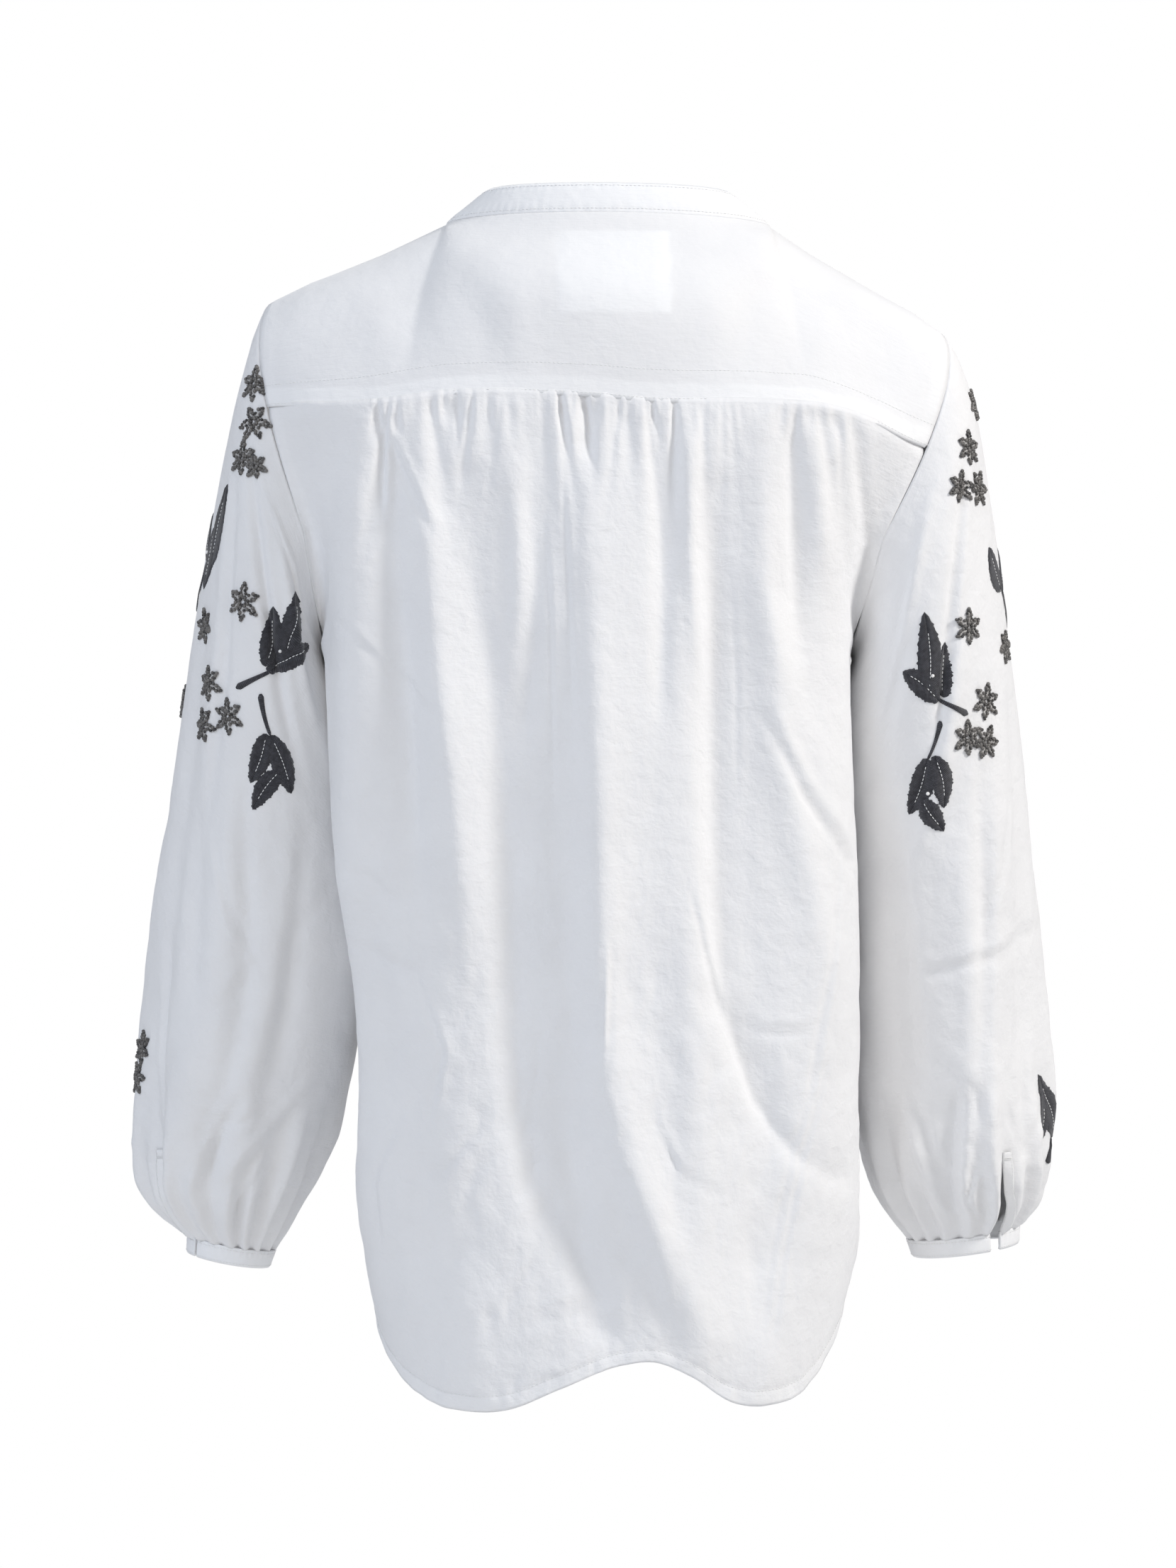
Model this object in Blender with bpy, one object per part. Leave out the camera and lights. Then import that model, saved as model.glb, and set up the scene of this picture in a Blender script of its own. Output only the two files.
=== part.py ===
"""White cotton blouse with a stand-up neckband, a gathered back and full sleeves, in the form it has when worn.

The front faces -Y, the wearer's left is +X, and the origin is the middle of the neck opening at the neck seam.
All tables and sizes are in millimetres. Each panel is a sheet of rings or rows, given a wall inwards.
"""

import math

import bpy
import numpy as np

MM = 0.001

# Cloth
WALL = 1.4
BAND_WALL = 2.2
SEAM_GAP = 0.3

# Neck opening and shoulders
NECK_MIDDLE = -3.0
NECK_HALF_WIDTH = 103.0
NECK_BACK = 58.0
NECK_FRONT = 78.0
NECK_FRONT_DROP = 28.0
BAND_HEIGHT = 19.0
BAND_LEAN = 7.0
FRONT_OPENING = 160.0
FRONT_OPENING_WIDTH = 5.0

# Gathers of the lower back along the yoke seam
GATHERS = 36
GATHER_DEPTH = 1.5
GATHER_REACH = 0.10
GATHERED_FROM = 0.16
GATHERED_TO = 0.86

# Gathers of the sleeves at the cuffs
CUFF_GATHERS = 18
CUFF_GATHER_DEPTH = 1.1
SLEEVE_PUFF_DEPTH = 4.2
PUFF_AT = 0.93
PUFF_REACH = 0.10
CUFF_HEIGHT = 11.0
SLIT_ROWS = 3
SLEEVE_LENGTH = 560.0
SLEEVE_DEGREE = 1.13
PLACKET_WIDTH = 7.0

# Label
LABEL_LEFT = 29.0
LABEL_RIGHT = -40.0
LABEL_TOP = -14.0
LABEL_BOTTOM = -69.0
LABEL_THICKNESS = 1.0

# Shoulder line from the tip to the neck: x, z
LEFT_SHOULDER = [(207, -50), (185, -38), (140, -20), (100, -1)]
RIGHT_SHOULDER = [(-209, -69), (-193, -56), (-162, -38), (-131, -20), (-106, -3)]

# Armhole rings: top x, top z, underarm x, underarm z, depth to the back, depth to the front, outward bow
LEFT_ARMHOLE = (207, -50, 175, -275, 60, 64, 14)
RIGHT_ARMHOLE = (-209, -69, -155, -270, 60, 64, 15)

# Body by height: z, left x, right x, depth of the back, depth of the front
BODY = [
    (-130, 210, -206, 104, 106),
    (-275, 175, -155, 112, 122),
    (-340, 170, -156, 113, 122),
    (-400, 164, -159, 112, 119),
    (-475, 155, -161, 112, 116),
    (-540, 152, -161, 113, 115),
    (-605, 156, -161, 115, 115),
    (-650, 152, -161, 117, 116),
    (-690, 144, -150, 118, 117),
    (-740, 128, -138, 119, 118),
]
BODY_SQUARENESS = 2.35

# Yoke seam: x, z
YOKE_SEAM = [
    (212, -122),
    (135, -123),
    (100, -119),
    (66, -118),
    (32, -119),
    (0, -121),
    (-20, -123),
    (-99, -124),
    (-141, -127),
    (-168, -135),
    (-188, -144),
    (-206, -150),
]

# Back hem: x, z
BACK_HEM = [
    (144, -690),
    (132, -714),
    (110, -732),
    (82, -738),
    (60, -736),
    (26, -722),
    (-10, -708),
    (-30, -706),
    (-52, -715),
    (-78, -732),
    (-100, -735),
    (-122, -728),
    (-140, -706),
    (-150, -688),
]

# Front hem: x, z
FRONT_HEM = [(144, -690), (128, -706), (90, -716), (0, -718), (-90, -716), (-132, -706), (-150, -688)]

# Sleeves by length: along, outer x, outer z, inner x, inner z, middle y, half depth
LEFT_SLEEVE = [
    (0.00, 207, -50, 175, -275, 0, 62),
    (0.10, 228, -110, 175, -300, -2, 66),
    (0.22, 246, -182, 171.5, -335, -8, 70),
    (0.34, 260, -254, 168.5, -375, -18, 71),
    (0.46, 271, -326, 163.5, -420, -27, 72),
    (0.58, 282, -398, 157.5, -470, -35, 73),
    (0.70, 292, -470, 157, -520, -40, 72),
    (0.81, 299, -542, 168, -566, -41, 70),
    (0.89, 298, -590, 180, -598, -43, 62),
    (0.95, 291, -621, 196, -628, -44, 50),
    (0.985, 278, -637, 207, -648, -45, 37),
    (1.00, 268, -646, 212, -657, -45, 31),
]
RIGHT_SLEEVE = [
    (0.00, -209, -69, -155, -270, 0, 62),
    (0.10, -229, -110, -159, -296, -2, 66),
    (0.22, -245, -182, -158, -332, -8, 69),
    (0.34, -256, -254, -159.5, -374, -18, 70),
    (0.46, -266, -326, -161.5, -418, -28, 71),
    (0.58, -274, -398, -162.5, -468, -36, 72),
    (0.70, -279, -470, -162.5, -518, -42, 71),
    (0.81, -285, -542, -163.5, -566, -45, 68),
    (0.89, -284, -588, -168, -602, -45, 62),
    (0.95, -281, -613, -180, -628, -46, 54),
    (0.985, -276, -629, -190, -642, -46, 45),
    (1.00, -268, -640, -196, -650, -46, 38),
]
# Angle of the sleeve slit from the outer side towards the back, and its width at the cuff
LEFT_SLIT = (44, 1.5)
RIGHT_SLIT = (62, 7.0)

# Folds of the lower back: x and z at the top, x and z at the bottom, half width, depth outwards
BACK_FOLDS = [
    (62, -170, 34, -690, 15, -7.0),
    (38, -260, 12, -640, 12, -4.0),
    (-62, -150, -106, -690, 17, -7.0),
    (100, -190, 92, -640, 17, 5.0),
    (-6, -150, -2, -560, 17, 4.5),
    (-50, -420, -60, -720, 12, 4.0),
    (-138, -170, -140, -600, 14, 3.5),
    (128, -180, 132, -330, 12, 4.0),
    (-84, -210, -140, -400, 10, 3.0),
    (140, -420, 120, -560, 10, -3.0),
    (85, -640, 80, -738, 18, 4.0),
    (-100, -650, -98, -735, 16, 3.5),
]

# Folds of the front, in the same columns
FRONT_FOLDS = [
    (110, -150, 120, -640, 16, 5.0),
    (70, -190, 76, -660, 14, -5.0),
    (36, -230, 44, -600, 15, 4.0),
    (0, -260, 4, -700, 14, -5.0),
    (-38, -220, -44, -620, 15, 4.5),
    (-76, -180, -80, -660, 14, -5.0),
    (-116, -150, -122, -630, 16, 4.5),
]

# Folds of the sleeves: along and angle at the top, along and angle at the bottom, half width, depth outwards
LEFT_SLEEVE_FOLDS = [
    (0.06, 95, 0.34, 165, 9, 5.0),
    (0.10, 70, 0.40, 140, 10, -5.0),
    (0.24, 110, 0.62, 175, 10, 4.0),
    (0.30, 35, 0.88, 40, 10, -4.0),
    (0.46, 75, 0.95, 62, 11, 4.0),
    (0.52, 120, 0.95, 105, 12, -4.5),
    (0.55, 10, 0.95, 5, 12, 3.5),
    (0.10, -80, 0.50, -150, 12, 4.5),
    (0.30, -40, 0.92, -50, 12, -4.5),
    (0.50, -100, 0.95, -95, 12, 4.0),
]
RIGHT_SLEEVE_FOLDS = [
    (0.05, 80, 0.30, 150, 9, 4.5),
    (0.10, 100, 0.42, 165, 11, -6.0),
    (0.26, 60, 0.52, 120, 10, 3.5),
    (0.40, 30, 0.90, 45, 11, -4.0),
    (0.50, 85, 0.95, 75, 12, 4.5),
    (0.55, 125, 0.95, 110, 12, -4.0),
    (0.60, 5, 0.95, 8, 12, 3.5),
    (0.10, -80, 0.50, -150, 12, 4.5),
    (0.30, -40, 0.92, -50, 12, -4.5),
    (0.50, -100, 0.95, -95, 12, 4.0),
]


def smooth(keys, values, at):
    """Values between the rows of a table, on a smooth curve through them."""
    keys = np.asarray(keys, float)
    values = np.asarray(values, float)
    at = np.clip(np.asarray(at, float), keys[0], keys[-1])
    slopes = np.gradient(values, keys, axis=0)
    row = np.clip(np.searchsorted(keys, at, side="right") - 1, 0, len(keys) - 2)
    span = keys[row + 1] - keys[row]
    part = (at - keys[row]) / span
    shape = part.shape + (1,) * (values.ndim - 1)
    part = part.reshape(shape)
    span = span.reshape(shape)
    return (
        (2 * part**3 - 3 * part**2 + 1) * values[row]
        + (part**3 - 2 * part**2 + part) * span * slopes[row]
        + (3 * part**2 - 2 * part**3) * values[row + 1]
        + (part**3 - part**2) * span * slopes[row + 1]
    )


def column(table, which):
    return [row[which] for row in table]


def by_falling(table, which, at):
    """A column of a table whose first column falls, read at a height or a place across."""
    return smooth([-row[0] for row in table], column(table, which), -np.asarray(at, float))


def unit(vectors):
    return vectors / np.maximum(np.linalg.norm(vectors, axis=-1, keepdims=True), 1e-9)


def even(points, shares):
    """Points of a polyline at the given shares of its length."""
    steps = np.linalg.norm(np.diff(points, axis=0), axis=1)
    along = np.concatenate([[0], np.cumsum(steps)])
    along /= along[-1]
    return np.stack([np.interp(shares, along, points[:, axis]) for axis in range(3)], 1)


def armhole(ring, turn):
    """The armhole seam: turn 0 is the shoulder tip, a quarter is the back, a half is the underarm."""
    top_x, top_z, low_x, low_z, back, front, bow = ring
    turn = np.asarray(turn, float)
    reach = np.where(np.sin(turn) > 0, back, front)
    share = (1 - np.cos(turn)) / 2
    away = np.abs(np.arctan2(np.sin(turn), np.cos(turn)))
    bulge = bow * np.where(away < 1.9, np.sin(math.pi * np.clip(away, 0, 1.9) / 1.9), 0)
    return np.stack(
        [
            top_x + (low_x - top_x) * share + math.copysign(1, top_x) * bulge,
            reach * np.sin(turn),
            top_z + (low_z - top_z) * share,
        ],
        -1,
    )


def armhole_turn(ring, z):
    """The turn of the back half of an armhole seam at a height."""
    share = np.clip((ring[1] - np.asarray(z, float)) / (ring[1] - ring[3]), 0, 1)
    return np.arccos(1 - 2 * share)


def edge_point(left, side, z):
    """The side edge of a front (side -1) or back (side 1) at a height: on the armhole, or on the side seam."""
    ring = LEFT_ARMHOLE if left else RIGHT_ARMHOLE
    z = np.asarray(z, float)
    on_ring = armhole(ring, side * armhole_turn(ring, z))
    seam_x = by_falling(BODY, 1 if left else 2, z)
    on_seam = np.stack([seam_x, 0 * z, z], -1)
    return np.where((z > ring[3])[..., None], on_ring, on_seam)


def body_row(side, left_z, right_z, heights, shares):
    """A row across the front or back between its two edges, from the wearer's left to the right.

    heights is a table of x and z that the row follows.
    """
    left = edge_point(True, side, left_z)
    right = edge_point(False, side, right_z)
    middle_z = (left_z + right_z) / 2
    depth = by_falling(BODY, 3 if side > 0 else 4, middle_z)
    edge_y = (abs(left[1]) + abs(right[1])) / 2
    start = math.asin((edge_y / depth) ** (BODY_SQUARENESS / 2))
    turn = np.linspace(start, math.pi - start, 181)
    across = np.sign(np.cos(turn)) * np.abs(np.cos(turn)) ** (2 / BODY_SQUARENESS)
    across /= across[0]
    x = (left[0] + right[0]) / 2 + (left[0] - right[0]) / 2 * across
    uneven = (abs(left[1]) - abs(right[1])) / 2 * across
    y = side * (depth * np.sin(turn) ** (2 / BODY_SQUARENESS) + uneven)
    if heights is None:
        z = (left_z + right_z) / 2 + (left_z - right_z) / 2 * across
    else:
        z = by_falling(heights, 1, x)
    return even(np.stack([x, y, z], 1), shares)


def neck_line(side, shares):
    """Half of the neck seam, from the wearer's left to the right."""
    turn = math.pi * np.asarray(shares, float)
    reach = NECK_BACK if side > 0 else NECK_FRONT
    drop = 0 if side > 0 else NECK_FRONT_DROP
    level = smooth([0, 1], [LEFT_SHOULDER[-1][1], RIGHT_SHOULDER[-1][1]], shares)
    return np.stack(
        [
            NECK_MIDDLE + NECK_HALF_WIDTH * np.cos(turn),
            side * reach * np.sin(turn),
            level - drop * np.sin(turn) ** 2 + (1 if side > 0 else 0) * np.sin(turn),
        ],
        1,
    )


def top_line(side, shoulder_columns, neck_columns):
    """The upper edge of the yoke or front: shoulder seam, half the neck, shoulder seam."""
    left = np.array([(x, side * SEAM_GAP / 2, z) for x, z in LEFT_SHOULDER], float)
    right = np.array([(x, side * SEAM_GAP / 2, z) for x, z in RIGHT_SHOULDER[::-1]], float)
    steps = np.linspace(0, 1, shoulder_columns + 1)
    neck = neck_line(side, np.linspace(0, 1, neck_columns + 1))
    return np.concatenate([even(left, steps)[:-1], neck, even(right, steps)[1:]])


def roll_line(top, side, reach, drop, neck_reach, neck_drop):
    """The top line moved off the shoulder ridge, less so along the neck."""
    at_neck = np.clip(np.abs(top[:, 1]) / NECK_BACK, 0, 1)[:, None]
    outward = np.stack([0 * top[:, 0], np.full(len(top), side, float), 0 * top[:, 0]], 1)
    moved = top + outward * (reach * (1 - at_neck) + neck_reach * at_neck)
    moved[:, 2] -= (drop * (1 - at_neck) + neck_drop * at_neck)[:, 0]
    return moved


def follow_edges(rows, side, reach=0.12):
    """Moves each row's ends onto the armholes and side seams, and what is next to them in part."""
    count = len(rows[0])
    share = np.linspace(0, 1, count)[:, None]
    for row in rows:
        left = edge_point(True, side, row[0, 2]) - row[0]
        right = edge_point(False, side, row[-1, 2]) - row[-1]
        row += np.clip(1 - share / reach, 0, 1) ** 2 * left
        row += np.clip(1 - (1 - share) / reach, 0, 1) ** 2 * right


def grid_normals(grid, towards):
    """Normals of a grid of rows, pointing the way that towards gives on the whole."""
    across = np.gradient(grid, axis=1)
    down = np.gradient(grid, axis=0)
    normals = unit(np.cross(across, down))
    if np.sum(normals * towards) < 0:
        normals = -normals
    evened = normals.copy()
    evened[1:-1] = normals[1:-1] + 0.5 * (normals[:-2] + normals[2:])
    evened[:, 1:-1] = evened[:, 1:-1] + 0.5 * (evened[:, :-2] + evened[:, 2:])
    return unit(evened)


def fold_field(folds, first, second):
    """Sum of the folds of a table at places given by two coordinates in millimetres."""
    total = np.zeros(np.broadcast(first, second).shape)
    for start_a, start_b, end_a, end_b, half_width, depth in folds:
        start = np.array([start_a, start_b], float)
        run = np.array([end_a, end_b], float) - start
        length = np.linalg.norm(run)
        to_a = first - start[0]
        to_b = second - start[1]
        along = (to_a * run[0] + to_b * run[1]) / length**2
        off = (to_a * run[1] - to_b * run[0]) / length
        fade = np.clip(np.sin(math.pi * np.clip(along, 0, 1)), 0, 1) ** 0.6
        total += depth * fade * np.exp(-((off / half_width) ** 2))
    return total


def material(name, colour, roughness):
    made = bpy.data.materials.new(name)
    made.use_nodes = True
    shader = made.node_tree.nodes["Principled BSDF"]
    shader.inputs["Base Color"].default_value = (*colour, 1)
    shader.inputs["Roughness"].default_value = roughness
    shader.inputs["Metallic"].default_value = 0
    return made


def wall(name, outer, normals, thickness, finish, ids=None):
    """A closed solid from a grid of outer points: the grid, its copy moved in, and rims between the two.

    ids numbers the grid's places; two places with one number share their point, as the two sides of a closed tube.
    """
    rows, columns = outer.shape[:2]
    if ids is None:
        ids = np.arange(rows * columns).reshape(rows, columns)
    flat_ids = ids.ravel()
    used, first, back = np.unique(flat_ids, return_index=True, return_inverse=True)
    numbers = back.reshape(rows, columns)
    count = len(used)
    points = outer.reshape(-1, 3)[first]
    inner = points - thickness * normals.reshape(-1, 3)[first]
    faces = []
    for i in range(rows - 1):
        for j in range(columns - 1):
            a, b, c, d = (int(n) for n in numbers[[i, i, i + 1, i + 1], [j, j + 1, j + 1, j]])
            if np.linalg.norm(points[a] - points[c]) < np.linalg.norm(points[b] - points[d]):
                faces += [[a, b, c], [a, c, d]]
            else:
                faces += [[a, b, d], [b, c, d]]
    middle = faces[len(faces) // 2]
    a, b, c = (points[corner] for corner in middle)
    if np.dot(np.cross(b - a, c - b), normals.reshape(-1, 3)[first][middle[0]]) < 0:
        faces = [face[::-1] for face in faces]
    directed = {(face[k], face[(k + 1) % 3]) for face in faces for k in range(3)}
    rims = [(a, b) for a, b in directed if (b, a) not in directed]
    solid = list(faces)
    solid += [[corner + count for corner in reversed(face)] for face in faces]
    solid += [[b, a, a + count, b + count] for a, b in sorted(rims)]
    mesh = bpy.data.meshes.new(name)
    mesh.from_pydata((np.concatenate([points, inner]) * MM).tolist(), [], solid)
    mesh.materials.append(finish)
    mesh.update()
    mesh.shade_smooth()
    mesh.set_sharp_from_angle(angle=math.radians(50))
    piece = bpy.data.objects.new(name, mesh)
    GARMENT.objects.link(piece)
    return piece


def lay_rows(keys, lines, at):
    """Rows between key lines that all have the same columns."""
    return smooth(keys, np.stack(lines), at)


def back_shares(every):
    """Places across the yoke seam: two to a gather, or every so many of them, and a few in each plain end."""
    gathered = np.linspace(GATHERED_FROM, GATHERED_TO, 2 * GATHERS + 1)[::every]
    return np.concatenate(
        [np.linspace(0, GATHERED_FROM, 6)[:-1], gathered, np.linspace(GATHERED_TO, 1, 6)[1:]]
    )


def build_yoke(finish):
    top = top_line(1, 7, 20)
    shares = back_shares(3)
    seam = body_row(1, YOKE_SEAM[0][1], YOKE_SEAM[-1][1], YOKE_SEAM, shares)
    seam[:, 2] += SEAM_GAP / 2
    roll = roll_line(top, 1, 30, 8, 9, 16)
    blade = 0.45 * top + 0.55 * seam
    blade[:, 1] += 15
    blade[:, 2] += 10
    rows = lay_rows([0, 0.2, 0.6, 1], [top, roll, blade, seam], np.linspace(0, 1, 7))
    inner_rows = list(rows[1:-1])
    follow_edges(inner_rows, 1)
    rows[1:-1] = inner_rows
    normals = grid_normals(rows, np.array([0, 0.6, 0.8]))
    normals[0, :8] = unit(normals[0, :8] * [1, 0, 1])
    normals[0, -8:] = unit(normals[0, -8:] * [1, 0, 1])
    normals[-1] = unit(normals[-1] * [1, 1, 0])
    wall("back_yoke", rows, normals, WALL, finish)
    return rows, normals


def build_back(finish):
    shares = back_shares(1)
    seam = body_row(1, YOKE_SEAM[0][1], YOKE_SEAM[-1][1], YOKE_SEAM, shares)
    seam[:, 2] -= SEAM_GAP / 2
    lines = [seam]
    for left_z, right_z in [(-275, -270), (-345, -345), (-400, -400), (-475, -475), (-545, -545), (-610, -610)]:
        lines.append(body_row(1, left_z, right_z, None, shares))
    hem = body_row(1, BACK_HEM[0][1], BACK_HEM[-1][1], None, shares)
    hem[:, 2] = by_falling(BACK_HEM, 1, hem[:, 0])
    lines.append(hem)
    keys = [0, 0.25, 0.37, 0.46, 0.59, 0.72, 0.84, 1]
    at = np.array([0, 0.025, 0.055, 0.09, 0.14, 0.195, 0.25, 0.33, 0.42, 0.51, 0.6, 0.69, 0.78, 0.86, 0.93, 1])
    rows = lay_rows(keys, lines, at)
    inner_rows = list(rows[1:-1])
    follow_edges(inner_rows, 1, 0.06)
    rows[1:-1] = inner_rows
    normals = grid_normals(rows, np.array([0, 1, 0]))
    normals[0] = unit(normals[0] * [1, 1, 0])
    facing = np.clip((normals[..., 1] - 0.1) / 0.6, 0, 1)
    grow = np.clip(at / 0.10, 0, 1)[:, None]
    push = fold_field(BACK_FOLDS, rows[..., 0], rows[..., 2]) * facing * grow
    gather = np.zeros(len(shares))
    count = np.arange(2 * GATHERS + 1)
    uneven = 1 + 0.3 * np.sin(1.7 * count) + 0.2 * np.sin(0.6 * count + 1)
    taper = np.clip(np.minimum(count, 2 * GATHERS - count) / 4, 0, 1)
    gather[5 : 5 + len(count)] = np.where(count % 2, 1, -1) * uneven * taper
    depth = GATHER_DEPTH * np.exp(-((at / GATHER_REACH) ** 1.5))[:, None]
    push += depth * gather
    rows = rows + normals * push[..., None]
    edges = normals[:, [0, -1]]
    below = rows[:, 0, 2] < LEFT_ARMHOLE[3] + 1
    edges[below] = [[1, 0, 0], [-1, 0, 0]]
    normals[:, [0, -1]] = edges
    rows[below, 0, 1] += SEAM_GAP / 2
    rows[below, -1, 1] += SEAM_GAP / 2
    wall("back_body", rows, normals, WALL, finish)


def build_front(finish):
    shoulder_columns = 7
    neck_columns = 26
    top = top_line(-1, shoulder_columns, neck_columns)
    shares = np.linspace(0, 1, len(top))
    upper_z = -150
    upper = body_row(-1, upper_z, upper_z, None, shares)
    roll = roll_line(top, -1, 32, 10, 10, 24)
    lines = [top, roll, upper]
    for left_z, right_z in [(-275, -270), (-400, -400), (-545, -545)]:
        lines.append(body_row(-1, left_z, right_z, None, shares))
    hem = body_row(-1, FRONT_HEM[0][1], FRONT_HEM[-1][1], None, shares)
    hem[:, 2] = by_falling(FRONT_HEM, 1, hem[:, 0])
    lines.append(hem)
    keys = [0, 0.05, 0.17, 0.36, 0.56, 0.78, 1]
    at = np.array([0, 0.03, 0.065, 0.11, 0.16, 0.21, 0.26, 0.31, 0.36, 0.46, 0.56, 0.67, 0.78, 0.89, 1])
    rows = lay_rows(keys, lines, at)
    inner_rows = list(rows[1:-1])
    follow_edges(inner_rows, -1, 0.10)
    rows[1:-1] = inner_rows
    normals = grid_normals(rows, np.array([0, -1, 0]))
    ends = shoulder_columns + 1
    normals[0, :ends] = unit(normals[0, :ends] * [1, 0, 1])
    normals[0, -ends:] = unit(normals[0, -ends:] * [1, 0, 1])
    facing = np.clip((-normals[..., 1] - 0.1) / 0.6, 0, 1)
    grow = np.clip(at / 0.3, 0, 1)[:, None]
    push = fold_field(FRONT_FOLDS, rows[..., 0], rows[..., 2]) * facing * grow
    rows = rows + normals * push[..., None]
    edges = normals[:, [0, -1]]
    below = rows[:, 0, 2] < LEFT_ARMHOLE[3] + 1
    edges[below] = [[1, 0, 0], [-1, 0, 0]]
    normals[:, [0, -1]] = edges
    rows[below, 0, 1] -= SEAM_GAP / 2
    rows[below, -1, 1] -= SEAM_GAP / 2
    middle = len(top) // 2
    doubled = np.insert(rows, middle, rows[:, middle], axis=1)
    doubled_normals = np.insert(normals, middle, normals[:, middle], axis=1)
    ids = np.arange(doubled.shape[0] * doubled.shape[1]).reshape(doubled.shape[:2])
    open_to = rows[0, middle, 2] - FRONT_OPENING
    for i in range(len(at)):
        height = rows[i, middle, 2]
        if height > open_to:
            spread = FRONT_OPENING_WIDTH / 2 * (height - open_to) / FRONT_OPENING + 0.4
            doubled[i, middle, 0] += spread
            doubled[i, middle + 1, 0] -= spread
        else:
            ids[i, middle + 1] = ids[i, middle]
    wall("front_body", doubled, doubled_normals, WALL, finish, ids)


def build_neckband(finish):
    """An open band that stands on the neck seam and leans in, with its two ends at the centre front."""
    turns = np.linspace(-math.pi / 2 + 0.03, 1.5 * math.pi - 0.03, 45)
    rows = []
    for share in (0, 0.35, 0.7, 1):
        reach = np.where(np.sin(turns) > 0, NECK_BACK, NECK_FRONT)
        level = LEFT_SHOULDER[-1][1] + (RIGHT_SHOULDER[-1][1] - LEFT_SHOULDER[-1][1]) * (1 - np.cos(turns)) / 2
        drop = np.where(np.sin(turns) > 0, 0, NECK_FRONT_DROP) * np.sin(turns) ** 2
        lift = np.where(np.sin(turns) > 0, np.sin(turns), 0)
        inward = BAND_LEAN * share**1.3
        side_lean = 17 * np.abs(np.cos(turns)) ** 3 * share
        rows.append(
            np.stack(
                [
                    NECK_MIDDLE + (NECK_HALF_WIDTH - 0.5 - inward - side_lean) * np.cos(turns),
                    (reach - 0.5 - inward) * np.sin(turns),
                    level - drop + lift + 0.35 + BAND_HEIGHT * share,
                ],
                1,
            )
        )
    rows = np.array(rows)
    centre = rows.mean(axis=(0, 1))
    normals = grid_normals(rows, rows - centre)
    normals[0] = unit(normals[0] * [1, 1, 0])
    wall("neckband", rows, normals, BAND_WALL, finish)


def sleeve_point(table, ring, along, turn, clear):
    """The smooth sleeve: rings between an outer and an inner line, blended out of the armhole seam."""
    outer_x, outer_z, inner_x, inner_z, middle_y, depth = (
        smooth(column(table, 0), column(table, which), along) for which in range(1, 7)
    )
    share = (1 - np.cos(turn)) / 2
    points = np.stack(
        [
            outer_x + (inner_x - outer_x) * share,
            middle_y + depth * np.sin(turn),
            outer_z + (inner_z - outer_z) * share,
        ],
        -1,
    )
    straight = np.stack(
        [
            table[0][1] + (table[0][3] - table[0][1]) * share,
            table[0][6] * np.sin(turn),
            table[0][2] + (table[0][4] - table[0][2]) * share,
        ],
        -1,
    )
    blend = np.clip(1 - along / 0.3, 0, 1)[..., None] ** 2
    points = points + (armhole(ring, turn) - straight) * blend
    at_tip = np.clip(np.cos(turn), 0, 1) * np.clip(1 - along / 0.3, 0, 1)
    points[..., 0] += math.copysign(1, table[0][1]) * (clear + (WALL + 0.2) * at_tip + 0.6 * share)
    return points


def cuff_axis(table):
    """The way that a cuff runs on from its sleeve."""
    across = np.array([table[-1][1] - table[-1][3], table[-1][2] - table[-1][4]], float)
    return unit(np.array([across[1], 0, -across[0]]) * math.copysign(1, table[0][1]))


def across_axis(vectors, axis):
    """Unit vectors made square to an axis."""
    return unit(vectors - np.sum(vectors * axis, axis=-1, keepdims=True) * axis)


def sleeve_grid(table, ring, folds, slit, alongs):
    """The folded and gathered sleeve, its first and last columns on the two sides of the slit."""
    start = math.radians(slit[0])
    count = np.arange(2 * CUFF_GATHERS + 1)
    turns = start + 2 * math.pi * count / (2 * CUFF_GATHERS)
    along, turn = np.meshgrid(alongs, turns, indexing="ij")
    rows = sleeve_point(table, ring, along, turn, 0.8)
    middle = rows[:, :-1].mean(axis=1, keepdims=True)
    normals = grid_normals(rows, rows - middle)
    ends = unit(normals[:, 0] + normals[:, -1])
    normals[:, 0] = ends
    normals[:, -1] = ends
    degrees = (np.degrees(turn) + 180) % 360 - 180
    grow = np.clip(along / 0.12, 0, 1) * np.clip((1 - along) / 0.06, 0, 1)
    laid = [
        (a0 * SLEEVE_LENGTH, b0 * SLEEVE_DEGREE, a1 * SLEEVE_LENGTH, b1 * SLEEVE_DEGREE, width, depth)
        for a0, b0, a1, b1, width, depth in folds
    ]
    push = fold_field(laid, along * SLEEVE_LENGTH, degrees * SLEEVE_DEGREE)
    inward_side = np.clip((np.abs(degrees) - 100) / 40, 0, 1)
    push = push * (1 - 0.85 * inward_side) - 1.0 * inward_side
    uneven = 1 + 0.35 * np.sin(2.3 * count) + 0.25 * np.sin(0.9 * count + 2)
    wave = np.where(count % 2, 1, -1) * uneven
    wave[-1] = wave[0]
    puff = SLEEVE_PUFF_DEPTH * np.exp(-(((along - PUFF_AT) / PUFF_REACH) ** 2)) * np.clip((1 - along) / 0.02, 0, 1)
    at_cuff = CUFF_GATHER_DEPTH * np.clip((along - 0.9) / 0.1, 0, 1)
    normals[-1] = across_axis(normals[-1], cuff_axis(table))
    rows = rows + normals * (push * grow + (puff + at_cuff) * wave)[..., None]
    return rows, normals


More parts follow.
